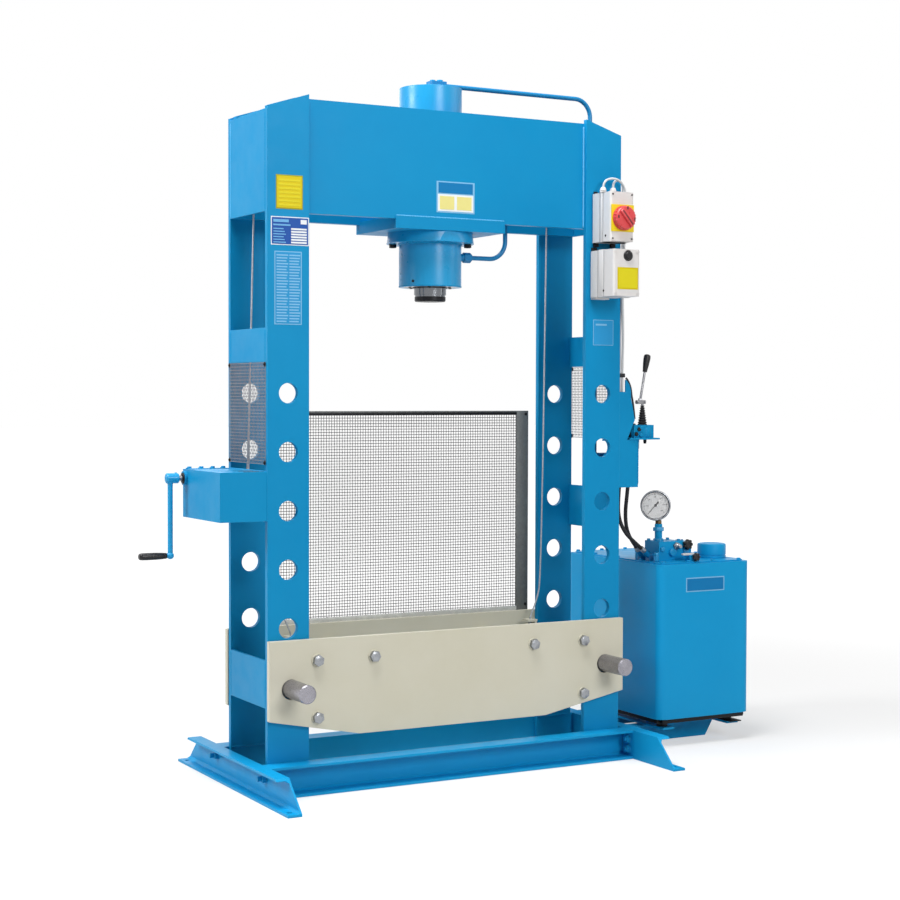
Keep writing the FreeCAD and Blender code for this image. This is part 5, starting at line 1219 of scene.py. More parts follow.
@dataclass(frozen=True)
class PressFrame:
    """The columns, the head, the feet and the base beams."""

    clear: float = 525.0
    outer: float = 669.0
    inside: float = 147.0
    face: float = -165.0
    head: Pair = (1853.0, 2217.0)
    web: float = 687.0
    bolt_at: float = 206.0
    bolt_high: float = 66.0
    low_bolt: float = 30.0
    mount_top: float = 1863.4
    mount_half: float = 205.0
    flange_low: float = 1787.0
    flange_circle: float = 127.75
    flange_bolts: int = 6
    battens: tuple[tuple[int, float, float], ...] = (
        (-1, 1378, 1486), (1, 1378, 1486), (1, 800, 947), (-1, 275, 427), (1, 275, 427),
        (-1, 1853, 2170), (1, 1853, 2170))

    def build(self) -> None:
        """Dress the frame's nodes and add its welds, labels and bolts."""
        dress(BLUE, "column_plate_left_front", "column_plate_left_rear", "column_plate_right_front",
              "column_plate_right_rear", "column_battens", "head_plates")
        dress(BLUE_PAINTED_LIGHTER, "foot_left", "foot_right", "base_beams")
        self.welds()
        self.labels()
        self.bolts()

    def welds(self) -> None:
        """The beads where the plates meet."""
        shape, seams = Shape(), Shape()
        batten_bead, head_bead, floor_bead, plate_bead = 3.0, 3.4, 3.2, 2.6
        foot_low, foot_high, foot_top = 14, 90, 101
        seed = 0
        for side, low, high in self.battens:
            for y in (-self.inside, self.inside):
                seed += 1
                x = side * (self.outer - batten_bead / 2)
                inward = y * (1 - batten_bead / 2 / self.inside)
                bead = seams if y > 0 and low > self.head[0] - 1 else shape
                bead.weld((x, inward, low + 3), (x, inward, high - 3), batten_bead, seed)
        for side in (-1, 1):
            for y in (-self.inside, self.inside):
                seed += 1
                x, outward = side * (self.clear - 1.5), y + math.copysign(1.5, y)
                seams.weld((x, outward, self.head[0] + 4), (x, outward, self.head[1] - 12), head_bead, seed)
                near, far = side * (self.clear + 6), side * (self.outer - 4)
                shape.weld((near, y, foot_top), (far, y, foot_top), floor_bead, seed + 20)
                foot, aside = side * (self.web - 2), y * 1.15
                shape.weld((foot, aside, foot_low), (foot, aside, foot_high), floor_bead, seed + 30)
        for y in (-self.inside - 1, self.inside + 1):
            seams.weld((-self.mount_half, y, self.mount_top), (self.mount_half, y, self.mount_top),
                       plate_bead, 9)
        shape.finish("weld_beads", "frame", BLUE, crease=60)
        # The sealed seams' beads are paler: a painted highlight along the joints.
        seams.finish("sealed_seams_painted_highlight", "frame", BLUE_BEAD_HIGHLIGHT, crease=60)

    def labels(self) -> None:
        """The labels on the head and the columns, as bare fields."""
        face = self.face
        head = Label("head_label", -self.inside)
        head.field((-55, 1881), (90, 1985), FILM_LINE).field((-50, 1886), (85, 1942), FILM_WHITE, 1)
        head.field((-48, 1946), (83, 1981), FILM_BAND, 1)
        head.field((-43, 1892), (12, 1936), FILM_STRAW, 2).field((22, 1892), (78, 1936), FILM_STRAW, 2)
        notice = Label("notice_label", face).field((-640, 1861), (-547, 1969), FILM_OLIVE)
        notice.field((-636, 1865), (-551, 1965), FILM_YELLOW, 1)
        for row in range(7):
            low = 1871 + row * 13
            notice.field((-631, low), (-556, low + 6), FILM_LEMON, 2)
        plate = Label("rating_plate", face)
        plate.field((-657, 1747), (-526, 1837), FILM_WHITE).field((-654, 1750), (-529, 1834), FILM_BLUE, 1)
        for row in range(6):
            low = 1754 + row * 8.5
            plate.field((-649, low), (-606 - 4 * (row % 3), low + 3.5), FILM_MIST, 2)
            plate.field((-588, low - 0.5), (-534, low + 5), FILM_WHITE, 2)
        plate.field((-649, 1808), (-590, 1813), FILM_MIST, 2)
        plate.field((-649, 1819), (-596, 1828), FILM_MIST, 2)
        plate.field((-555, 1815), (-534, 1829), FILM_WHITE, 2)
        panel = Label("pale_panel", face).field((-645, 1496), (-551, 1728), FILM_LINE)
        panel.field((-642, 1499), (-554, 1725), FILM_SKY, 1)
        for row in range(24):
            low = 1504 + row * 9.1
            panel.field((-638, low), (-604 + 3 * (row % 3), low + 4), FILM_LINE, 2)
            panel.field((-594, low), (-562 + 2 * (row % 4), low + 4), FILM_LINE, 2)
        low_panel = Label("right_panel", face).field((556, 1449), (640, 1538), FILM_LINE)
        low_panel.field((558, 1451), (638, 1536), FILM_SKY, 1).field((566, 1518), (612, 1524), FILM_LINE, 2)

    def bolts(self) -> None:
        """The bolts that hold the beams to the feet, and those under the cylinder's flange."""
        thin, flats, nut, stud, reach, inner = 2.8, 24, 11, 7.8, 30, 20
        plate = washer(8.4, 15, 2.2, 14.4, thin)
        shape = Shape()
        for side in (-1, 1):
            out, inwards = (side, 0, 0), (-side, 0, 0)
            for y in (-self.bolt_at, self.bolt_at):
                start = side * (self.web + 6)
                shape.lathe(plate, (start, y, self.bolt_high), out, 32)
                shape.hexagon((start + side * thin, y, self.bolt_high), out, flats, nut,
                              math.copysign(9, y))
                shape.rod((start + side * nut, y, self.bolt_high),
                          (start + side * reach, y, self.bolt_high), stud, 1.4)
                for high in (self.bolt_high, self.low_bolt):
                    shape.lathe(plate, (side * self.web, y, high), inwards, 32)
                    shape.hexagon((side * (self.web - thin), y, high), inwards, flats, nut, 14)
                    shape.rod((side * (self.web - nut), y, high), (side * (self.web - inner), y, high),
                              stud, 1)
        shape.finish("frame_bolt_set", "frame", BLUE, ["frame_bolts"])
        dark, painted = Shape(), Shape()
        for i in range(self.flange_bolts):
            turn = 30 + 360 // self.flange_bolts * i
            spot = (*around(self.flange_circle, turn), self.flange_low)
            if turn in (210, 270):
                painted.lathe(socket(11, 1.6, 9.6, 2.4, 5.6, 0.8), spot, DOWN, 28)
                continue
            dark.lathe(washer(5, 13, 1.6, 12.4, 2.2), spot, DOWN, 24)
            dark.hexagon((spot[0], spot[1], self.flange_low - 2.2), DOWN, 22, 10, 20 * i)
        # The bolts under the flange are near black: black oxide, and darkened as painted shade under the
        # flange.
        dark.finish("flange_bolts", "frame", BLACKENED)
        painted.finish("flange_low_screws", "frame", BLUE)


@dataclass(frozen=True)
class Cylinder:
    """The cylinder under the head, its ram and its small fittings."""

    barrel: float = 106.5
    flange_low: float = 1787.0
    end: float = 1640.0
    top: float = 2312.0
    mount_top: float = 1863.0
    union_top: float = 2340.0
    ram: float = 55.0
    screw_circle: float = 77.0
    plug: Triple = (-92.9, -52.1, 1657.0)

    def build(self) -> None:
        """Dress the cylinder's nodes and add its rings, wiper and screws."""
        dress(BLUE, "cylinder_mount_plate")
        dress(BLUE_TURNED, "cylinder_barrel")
        dress(BLUE_PIPE_SHADED, "oil_pipes", "pipe_fittings")
        dress(SHAFT, "gland_ring")
        dress(CHROME, "ram_rod")
        dress(BLACKENED, "ram_nose")
        self.rings()
        self.wiper()
        self.screws()

    def rings(self) -> None:
        """The barrel's weld rings and end ring, and the plug and unions on its top."""
        rings = Shape()
        bead, sunk = 4.0, self.barrel - 1
        for low, up in ((self.flange_low, -1), (self.mount_top, 1)):
            rings.lathe([(sunk, 0), (self.barrel + bead, 0), (self.barrel + bead * 0.6, bead * 0.7),
                         (self.barrel - 0.2, bead * 1.2), (sunk, 0)], (0, 0, low), (0, 0, up), 96)
        rings.lathe([(sunk, 0), (self.barrel + 0.9, 0.4), (self.barrel + 0.9, 4), (sunk, 4.6), (sunk, 0)],
                    (0, 0, self.end), UP, 96)
        rings.lathe(disc(40, 2.4, 1.6, 38.5), (-50, 20, self.top), UP, 48)
        for x, flats, tall, turn in ((8, 16, 5, 12), (36, 19, 7, 20)):
            rings.hexagon((x, 0, self.union_top), UP, flats, tall, turn)
        rings.finish("cylinder_rings", "frame", BLUE)

    def wiper(self) -> None:
        """The rubber wiper round the ram."""
        bore = self.ram + 0.5
        profile = [(bore, 0), (self.ram + 5, 0), (self.ram + 4.4, 1.6), (self.ram + 1.6, 2.6), (bore, 2),
                   (bore, 0)]
        Shape().lathe(profile, (0, 0, self.end), DOWN, 96).finish("rod_wiper", "frame", RUBBER)

    def screws(self) -> None:
        """The gland's screws and the bleed plug in the barrel's side."""
        screws = Shape()
        away = Vector((self.plug[0], self.plug[1], 0)).normalized()
        screws.lathe([(0, 0), (4.8, 0), (4.8, 0.9), (3.8, 1.3), (2.6, 0.4), (0, 0.4)], self.plug, away, 20)
        for i in range(6):
            x, y = around(self.screw_circle, 60 * i)
            screws.lathe(socket(5.5, 1.8, 4.8, 2.4, 2.6, 0.8), (x, y, self.end), DOWN, 20)
        screws.finish("cylinder_screws", "frame", BLACKENED)


@dataclass(frozen=True)
class Bed:
    """The bed's plates and spacers, the bolts through them and the two pins that carry it."""

    outside: float = 188.0
    bolts: tuple[Pair, ...] = ((-506, 424), (-506, 240), (-304, 424), (304, 424), (506, 240), (506, 424))
    flats: float = 33.0
    head: float = 14.0
    thick: float = 4.0

    def build(self) -> None:
        """Dress the bed and add its bolts."""
        dress(SAND, "bed_plate_front", "bed_plate_rear", "bed_spacers")
        dress(PIN, "pin_left", "pin_right")
        shape, washers = Shape(), Shape()
        plate = washer(12.4, 21, self.thick - 0.8, 20.2, self.thick)
        nut_end = self.outside + self.thick + self.head
        for number, (x, z) in enumerate(self.bolts):
            turn = 17 * number
            for way in (-1, 1):
                face = way * self.outside
                washers.lathe(plate, (x, face, z), (0, way, 0), 40)
                shape.hexagon((x, face + way * self.thick, z), (0, way, 0), self.flats, self.head - 1.5,
                              turn + way * 8)
            shape.rod((x, -self.outside, z), (x, nut_end + 7, z), 11.8, 1.6)
            for ring in range(4):
                shape.lathe([(11.2, 0), (12.4, 0.5), (11.2, 1.0), (11.2, 0)], (x, nut_end + ring * 1.7, z),
                            (0, 1, 0), 24)
        shape.finish("bed_bolt_set", "bed", ZINC, ["bed_bolts"])
        washers.finish("bed_washers", "bed", SAND)


# ------------ guards
@dataclass(frozen=True)
class WovenMesh:
    """A flat woven mesh: wires that pass over and under one another at every crossing."""

    name: str
    across: Pair
    up: Pair
    at: float
    pitch: float
    wire: float
    sideways: bool = False
    finish: Finish = WIRE

    def build(self, body: str, replaces: Sequence[str] = ()) -> None:
        """Weave the mesh.

        Args:
            body: the body that it rides on.
            replaces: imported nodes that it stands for.
        """
        curve = wire_curve(self.name, self.wire / 2, 0)
        columns = round((self.across[1] - self.across[0]) / self.pitch)
        rows = round((self.up[1] - self.up[0]) / self.pitch)
        for i in range(columns + 1):
            add_wire(curve, [self.spot(i, j, columns, rows, 1 if (i + j) % 2 else -1)
                             for j in range(rows + 1)])
        for j in range(rows + 1):
            add_wire(curve, [self.spot(i, j, columns, rows, -1 if (i + j) % 2 else 1)
                             for i in range(columns + 1)])
        Shape().join(curve).finish(self.name, body, self.finish, replaces, crease=80)

    def spot(self, i: int, j: int, columns: int, rows: int, lift: int) -> Vector:
        """A wire's place at a crossing.

        Args:
            i: the upright wire's number.
            j: the level wire's number.
            columns: the gaps across.
            rows: the gaps upwards.
            lift: -1 where the wire passes in front, 1 where it passes behind.

        Returns:
            The place.
        """
        edge = self.wire
        x = self.across[0] + edge + (self.across[1] - self.across[0] - 2 * edge) * i / columns
        z = self.up[0] + edge + (self.up[1] - self.up[0] - 2 * edge) * j / rows
        depth = self.at + lift * self.wire * 0.42
        return Vector((depth, x, z)) if self.sideways else Vector((x, depth, z))


@dataclass(frozen=True)
class Guards:
    """The mesh behind the bed and the meshes over the columns' open sides. The left post is half as
    wide as the right one, so that the left column's holes look on to mesh."""

    post: float = 458.0
    post_wide: float = 50.0
    left_post: float = 482.0
    post_low: float = 452.0
    post_high: float = 1218.0
    bar: float = 12.0
    thick: float = 5.0
    plane: float = 188.0
    mesh: Pair = (500.0, 1206.0)
    side: float = 669.0
    side_half: float = 155.0
    left: Pair = (1051.0, 1377.0)
    right: Pair = (1119.0, 1377.0)
    clips: int = 13

    def build(self) -> None:
        """Build the guard's bars and weave its meshes."""
        self.posts()
        self.meshes()
        self.holders()
        self.side_screws()

    def posts(self) -> None:
        """The rear guard's posts and upper bar, with rounded edges."""
        end = self.post + self.post_wide
        back = self.plane + self.thick
        bars = Shape()
        for left, right, low in ((self.post, end, self.post_low), (-end, -self.left_post, self.post_low),
                                 (-self.left_post, self.post, self.post_high - self.bar)):
            bars.block((left, self.plane, low), (right, back, self.post_high), 0.8)
        bars.finish("guard_bars", "bed", GALVANISED, ["rear_guard_frame"])

    def meshes(self) -> None:
        """The mesh behind the bed and one over each column's open side."""
        beside = (-self.side_half, self.side_half)
        WovenMesh("rear_mesh", (-self.left_post, self.post), self.mesh, self.plane + 1.5, 10.0, 2.3).build(
            "bed", ["rear_guard_mesh"])
        WovenMesh("left_side_mesh", beside, self.left, -self.side - 1.5, 11.0, 2.1, True,
                  WIRE_BRIGHT).build("frame", ["side_guards"])
        WovenMesh("right_side_mesh", beside, self.right, self.side + 1.5, 10.0, 2.0, True,
                  WIRE_BRIGHT).build("frame")

    def holders(self) -> None:
        """The strip at the mesh's foot, the clips on it, the strip at its top and the posts' screws."""
        front = self.plane - 0.2
        strip = Shape().block((-self.left_post, self.plane - 3.4, 492.6), (self.post, front, 508), 0.6)
        strip.finish("mesh_foot_strip", "bed", STRIP)
        clips = Shape()
        for i in range(self.clips):
            x = -self.post + 12 + i * (2 * self.post - 24) / (self.clips - 1)
            clips.block((x - 3, self.plane - 1.2, 503), (x + 3, front, 509), 0.4)
        for x in (-self.post - self.post_wide * 0.78, self.post + self.post_wide * 0.78):
            for z in (512, 1206):
                clips.screw((x, self.plane, z), FRONT, 5.5, 2.6)
        clips.block((-self.left_post, self.plane - 1.6, 1203), (self.post, front, 1213), 0.5)
        clips.finish("mesh_clips", "bed", BLACKENED)

    def side_screws(self) -> None:
        """The screws and washers that hold the side meshes."""
        shape = Shape()
        for way, (low, high) in ((-1, self.left), (1, self.right)):
            out = (way, 0, 0)
            for y in (-self.side_half + 6, self.side_half - 6):
                for z in (low + 7, high - 7):
                    shape.lathe(disc(7.5, 1.2, 0.9, 6.8), (way * (self.side + 2.6), y, z), out, 24)
                    shape.screw((way * (self.side + 3.8), y, z), out, 4.6, 3)
        shape.finish("side_mesh_screws", "frame", BLACKENED)


# ------------ winch and ropes
@dataclass(frozen=True)
class Winch:
    """The hand winch in its sheet housing, with its crank."""

    out: float = 829.0
    low: float = 873.0
    high: float = 1030.0
    column: float = 669.0
    face: float = 165.0
    axis: Pair = (140.0, 1001.0)
    cover: Quad = (-822.0, -682.0, 118.0, 162.0)
    slots: Triple = (-156.0, -112.0, -66.0)
    hub: Pair = (896.0, 855.0)
    arm_at: float = 882.0
    throw: float = 252.0
    grip_in: float = 895.0
    grip_length: float = 94.0

    def build(self) -> None:
        """Dress the winch's nodes and build its housing's dressing, crank and grip."""
        dress(BLUE, "winch_housing", "winch_gearbox")
        dress(CAST, "winch_drum")
        dress(SHAFT, "crank_shaft")
        self.housing()
        self.crank()
        self.grip()

    def housing(self) -> None:
        """The housing's beads, the gear's cover, the crank's bearing flange, and thin dark plates on top
        that paint the shade in its slots.
        """
        beads = Shape()
        inner = self.face - 8
        for y in (-self.face + 1, self.face - 1):
            beads.weld((-self.column - 1, y, self.low + 3), (-self.column - 1, y, self.high - 3), 2.6, 3)
        for i, z in enumerate((self.low, self.high)):
            beads.weld((-self.column - 1.5, -inner, z), (-self.column - 1.5, inner, z), 3.0, i)
        beads.finish("winch_beads", "frame", BLUE, crease=60)
        left, right, front, back = self.cover
        lid = self.high + 2
        cover = Shape().block((left, front, self.high + 0.1), (right, back, lid), 0.8)
        for x in (-812, -771, -731, -694):
            cover.hexagon((x, back - 12, lid), UP, 13, 6, x)
            cover.rod((x - 14, back - 20, lid), (x - 5, back - 20, lid), 3, 1)
        cover.finish("winch_cover", "frame", BLUE)
        y, z = self.axis
        dark = Shape().lathe([(9.6, 0), (18, 0), (18, 2), (17, 3), (13, 3.6), (12, 5), (9.6, 5), (9.6, 0)],
                             (-self.out - 9, y, z), LEFT, 48)
        # Thin dark plates on the housing's top: painted shade of the slots.
        for low in self.slots:
            dark.block((-744, low, self.high), (-676, low + 11, self.high + 0.6), 0.2, 1)
        dark.finish("winch_bearing_and_slot_shade", "frame", BLACKENED)

    def crank(self) -> None:
        """The forged arm with its hub, its ball end and the grip's spindle."""
        y, z = self.axis
        outer, inner = self.hub
        end = z - self.throw
        long, ball = outer - inner, 12
        shape = Shape()
        shape.lathe([(9.2, 0), (15.5, 0), (17, 1.5), (17, long - 2.5), (14.5, long), (9.2, long), (9.2, 0)],
                    (-inner, y, z), LEFT, 48)
        shape.lathe([(0, 0), (10.5, 0), (8.8, 9), (8.5, 22), (8.5, self.throw - 22), (9.6, self.throw - 12),
                     (0, self.throw - 10)], (-self.arm_at, y, z - 11), DOWN, 32)
        turns = [math.radians(a) for a in range(0, 181, 15)]
        shape.lathe([(ball * math.sin(a), ball - ball * math.cos(a)) for a in turns],
                    (-self.arm_at, y, end - ball), UP, 32)
        shape.rod((-self.arm_at, y, end), (-(self.grip_in + self.grip_length - 7), y, end), 4.9, 0.8)
        shape.lathe(disc(8, 2.6), (-self.arm_at - 10.2, y, end), LEFT, 24)
        shape.finish("crank_forging", "crank", BLUE_TURNED, ["crank_arm"])
        screws = Shape().lathe(socket(11, 1, 10, 1.6, 3.4, 0.6), (-outer, y, z), LEFT, 32)
        screws.rod((-inner - 8, y, z + 16), (-inner - 8, y, z + 19), 3.6, 0.6)
        screws.finish("crank_screws", "crank", BLUE_TURNED)

    def grip(self) -> None:
        """The turned grip with its rings, bored for the spindle."""
        y, z = self.axis[0], self.axis[1] - self.throw
        long = self.grip_length
        profile = [(0, long), (7.4, long), (8.6, long - 0.8), (10.6, long - 4), (11.4, long - 8),
                   (10.9, long - 9.2), (11.6, long - 10.4), (12, long * 0.72), (11.8, long * 0.4),
                   (10.8, 14), (10.2, 10), (9.6, 9), (10.2, 8), (10, 3), (9, 0.4), (8.4, 0), (5.4, 0),
                   (5.4, long - 6.4), (0, long - 6.4)]
        Shape().lathe(profile, (-self.grip_in, y, z), LEFT, 40).finish(
            "crank_handle", "grip", PHENOLIC, ["crank_grip"], crease=24)


@dataclass(frozen=True)
class RopeDrive:
    """The two ropes from the drum over the pulleys to the bed, each on its listed points. From
    the guide pulleys to the top pulleys both are bowed sideways by 3 mm."""

    left: tuple[Point, ...] = (
        (-724.8, 44, 957), (-688, 44, 957), (-664, 44, 957), (-647, 44, 974), (-646.6, 45, 998),
        (-644.1, 51.3, 1130), (-607.4, 90.9, 1960), (-598.4, 97, 2088), (-598, 98, 2112),
        (-581, 98, 2129), (-557, 98, 2129), (-540, 98, 2112), (-539.7, 98, 2088), (-520, 98, 610),
        (-500, 98, 530), (-473, 98, 474), (-473, 98, 457.7))
    right: tuple[Point, ...] = (
        (-724.8, 60, 957), (-688, 60, 957), (-664, 60, 957), (-647, 60, 974), (-646.6, 61, 998),
        (-637.5, 67.3, 1130), (-600.8, 106.9, 1960), (-598.4, 113, 2088), (-598, 114, 2112),
        (-581, 114, 2129), (-557, 114, 2129), (498, 114, 2129), (522, 114, 2129), (538.8, 114, 2112),
        (538.6, 114, 2088), (520, 114, 610), (500, 114, 530), (473, 114, 474), (473, 114, 457.7))

    def build(self) -> None:
        """Lay the ropes, press on their ferrules and dress the pulleys."""
        dress(ZINC, "guide_pulleys", "top_pulleys_left", "top_pulley_right")
        dress(SHAFT, "pulley_axles")
        Strands("left_rope", self.left).build("frame", ["wire_ropes"])
        Strands("right_rope", self.right).build("frame")
        shape = Shape()
        for end in (self.left[-1], self.right[-1]):
            shape.lathe([(0, 0), (5.2, 0), (7, 2), (7, 7), (6.2, 8), (7, 9), (7, 15), (6.2, 16), (7, 17),
                         (7, 22), (5.6, 24), (0, 24)], end, DOWN, 32)
        shape.finish("rope_ferrules", "frame", ZINC)


# ------------ electrics
@dataclass(frozen=True)
class ElectricBoxes:
    """The isolator's box and the push button's box on the right column."""

    column: float = -165.0
    base_front: float = -216.0
    isolator: Quad = (548.0, 644.0, 1803.0, 1972.0)
    isolator_front: float = -282.0
    control: Quad = (541.0, 650.0, 1614.0, 1774.0)
    control_front: float = -312.0
    corner: float = 8.0
    knob: Pair = (596.0, 1882.0)
    knob_radius: float = 42.0
    knob_turn: float = -41.0
    ribs: int = 24
    button: Pair = (600.0, 1752.0)
    gland_places: Pair = (568.0, 609.0)
    gland_front: float = -205.0

    def build(self) -> None:
        """Dress the boxes and add their seams, screws, knob, button, glands and tabs."""
        dress(POLYCARBONATE, "isolator_box", "control_box")
        dress(NYLON_YELLOW, "isolator_plate")
        self.seams()
        self.screws()
        self.switch()
        self.push_button()
        self.glands()
        label = Label("control_label", self.control_front)
        label.field((557, 1637), (642, 1712), FILM_YELLOW).field((562, 1642), (637, 1707), FILM_LEMON, 1)

    def seams(self) -> None:
        """The joints round each box between its base, its rim and its lid."""
        rims, gaps = Shape(), Shape()
        proud, shown, half = 1.6, 0.6, 1.4
        for (left, right, low, high), front in ((self.isolator, -235.0), (self.control, -253.0)):
            rims.block((left - proud, front, low - proud), (right + proud, self.base_front, high + proud),
                       1.0, corner=self.corner + proud)
            for place in (self.base_front, front):
                gaps.block((left - shown, place - half, low - shown),
                           (right + shown, place + half, high + shown), corner=self.corner + shown)
        rims.finish("box_rims", "frame", POLYCARBONATE)
        gaps.finish("box_gaskets", "frame", GASKET)

    def screws(self) -> None:
        """The lids' corner screws in their recesses, and the tabs that hold the boxes."""
        rings, heads, tabs = Shape(), Shape(), Shape()
        inset = 9.0
        for (left, right, low, high), front in ((self.isolator, self.isolator_front),
                                                (self.control, self.control_front)):
            dark = front > self.control_front
            for x in (left + inset, right - inset):
                for z in (low + inset, high - inset):
                    rings.lathe([(3.6, 0), (6.4, 0), (6, 0.9), (3.6, 0.9), (3.6, 0)], (x, front, z),
                                FRONT, 28)
                    (heads if dark else rings).screw((x, front, z), FRONT, 3.5, 0.8)
            heads.screw((left, -251, low + 20), LEFT, 4.2, 1.6)
        wall = self.column - 0.2
        left, right, low, high = self.isolator
        for x in (left + 14, right - 12):
            tabs.block((x - 10, self.column - 9, low - 13), (x + 10, wall, low), 1.2)
            tabs.block((x - 8, self.column - 5, high), (x + 8, wall, high + 9), 1.2)
        left, right, low, high = self.control
        for x in (left + 14, right - 12):
            tabs.block((x - 10, self.column - 9, high), (x + 10, wall, high + 13), 1.2)
        rings.block((left + 4, self.column - 30, low - 7), (right - 46, wall, low + 1), 2.0, 3)
        rings.finish("lid_screw_rings", "frame", POLYCARBONATE)
        heads.finish("lid_screws", "frame", BLACKENED)
        tabs.finish("box_tabs", "frame", BLACKENED)

    def switch(self) -> None:
        """The isolator's knob: a ribbed disc with a bridge across it, and thin dark plates that paint the
        shade in its groove and recesses.
        """
        x, z = self.knob
        face = self.isolator_front - 3.3
        radius = self.knob_radius
        knob = Shape().lathe([(0, 0), (radius - 1.5, 0), (radius, 1.5), (radius, 4), (radius - 2, 5),
                              (radius - 2.4, 20), (radius - 5, 23.4), (radius - 9, 24), (0, 24)],
                             (x, face, z), FRONT, 72)
        for i in range(self.ribs):
            dx, dz = around(radius - 1.8, 360 * i / self.ribs)
            knob.rod((x + dx, face - 4, z + dz), (x + dx, face - 20, z + dz), 1.7, 0.8, 12)
        tilt = Matrix.Rotation(math.radians(self.knob_turn), 4, "Y")
        knob.block((x - 9, face - 33, z - 35), (x + 9, face - 23, z + 35), 2.4, 3, tilt)
        knob.finish("isolator_handle", "isolator_switch", NYLON_RED, ["isolator_knob"])
        # Thin dark plates on the knob: painted shade in the groove and the recesses.
        dark = Shape().block((x - 2.6, face - 33.6, z - 31), (x + 2.6, face - 32.6, z + 31), 0.4, 1, tilt)
        for dx, dz in ((4, 33), (-33, 2), (33, -4)):
            dark.block((x + dx - 3.4, face - 24.5, z + dz - 5), (x + dx + 3.4, face - 23.8, z + dz + 5),
                       0.3, 1)
        dark.finish("isolator_painted_recess_shade", "isolator_switch", NYLON_RED_SHADE)

    def push_button(self) -> None:
        """The black push button and the ring round it."""
        x, z = self.button
        ring = Shape().lathe([(13.6, 0), (18.5, 0), (18.5, 2), (17, 4), (13.6, 4.4), (13.6, 0)],
                             (x, self.control_front, z), FRONT, 48)
        ring.finish("button_ring", "frame", PHENOLIC)
        cap = Shape().lathe([(0, -5), (12.6, -5), (12.8, 7), (11.6, 8.6), (6, 9), (0, 8.6)],
                            (x, self.control_front, z), FRONT, 48)
        cap.finish("button_cap", "start_button", PHENOLIC, ["push_button"])

    def glands(self) -> None:
        """The domed glands on the isolator's box, and the clip and entry at the cables' lower end."""
        shape = Shape()
        for x in self.gland_places:
            at = (x, self.gland_front, self.isolator[3])
            shape.hexagon(at, UP, 24, 6, x)
            shape.lathe([(4.1, 0), (11, 0), (11, 9), (11.6, 10), (11, 13), (8.4, 20), (6, 22), (4.1, 22),
                         (4.1, 0)], at, UP, 40)
        shape.finish("gland_domes", "frame", POLYCARBONATE, ["cable_glands"])
        holders = Shape()
        for low, high, back in ((1338, 1352, -146.5), (1118, 1138, -135)):
            holders.block((672, -159.5, low), (696, back, high), 2.0, 3)
        holders.finish("cable_holders", "frame", PHENOLIC)


@dataclass(frozen=True)
class Wiring:
    """The cables from the isolator's box down to the valve, and the hoses to the oil tank."""

    left_cable: tuple[Point, ...] = (
        (568, -205, 1992), (570, -206, 2011), (588, -208, 2024), (616, -210, 2026), (644, -208, 2014),
        (661, -206, 1986), (665, -201, 1938), (666, -197, 1862), (668, -188, 1780), (671, -179, 1700),
        (674.5, -171, 1620), (681, -165, 1540), (687, -158, 1465), (687.5, -153, 1380), (687.5, -153, 1118))
    right_cable: tuple[Point, ...] = (
        (609, -205, 1992), (611, -203, 2010), (627, -197, 2022), (649, -190, 2022), (665, -184, 2006),
        (667, -178, 1970), (670, -174, 1902), (676, -167, 1802), (678, -159, 1702), (678, -153, 1622),
        (678, -153, 1118))
    left_hose: tuple[Point, ...] = (
        (762, -78, 1105), (752, -74, 1055), (740, -66, 990), (738, -59, 915), (744, -48, 840),
        (776, -40, 782), (828, -30, 741), (880, -20, 706))
    right_hose: tuple[Point, ...] = (
        (802, -78, 1105), (792, -73, 1058), (779, -65, 995), (779, -54, 922), (784, -34, 850),
        (804, -14, 787), (839, 2, 742), (880, 18, 706))

    cable: float = 8.0
    hose: float = 14.0

    def build(self) -> None:
        """Lay the cables and the hoses, and press a crimp on each end of the hoses."""
        Cord("left_cable", self.left_cable, self.cable, PVC).build("frame", ["cables"])
        Cord("right_cable", self.right_cable, self.cable, PVC).build("frame")
        Cord("left_hose", self.left_hose, self.hose, RUBBER, "stiff").build("frame", ["oil_hoses"])
        Cord("right_hose", self.right_hose, self.hose, RUBBER, "stiff").build("frame")
        crimps = Shape()
        sleeve = [(7.1, 0), (9.2, 0), (9.8, 1), (9.8, 5), (9.0, 6), (9.8, 7), (9.8, 12), (9.0, 13),
                  (9.8, 14), (9.8, 20), (9.2, 22), (7.1, 22), (7.1, 0)]
        for points in (self.left_hose, self.right_hose):
            crimps.lathe(sleeve, points[0], DOWN, 32)
            crimps.lathe(sleeve, points[-1], Vector(points[-2]) - Vector(points[-1]), 32)
        crimps.finish("hose_crimps", "frame", ZINC)


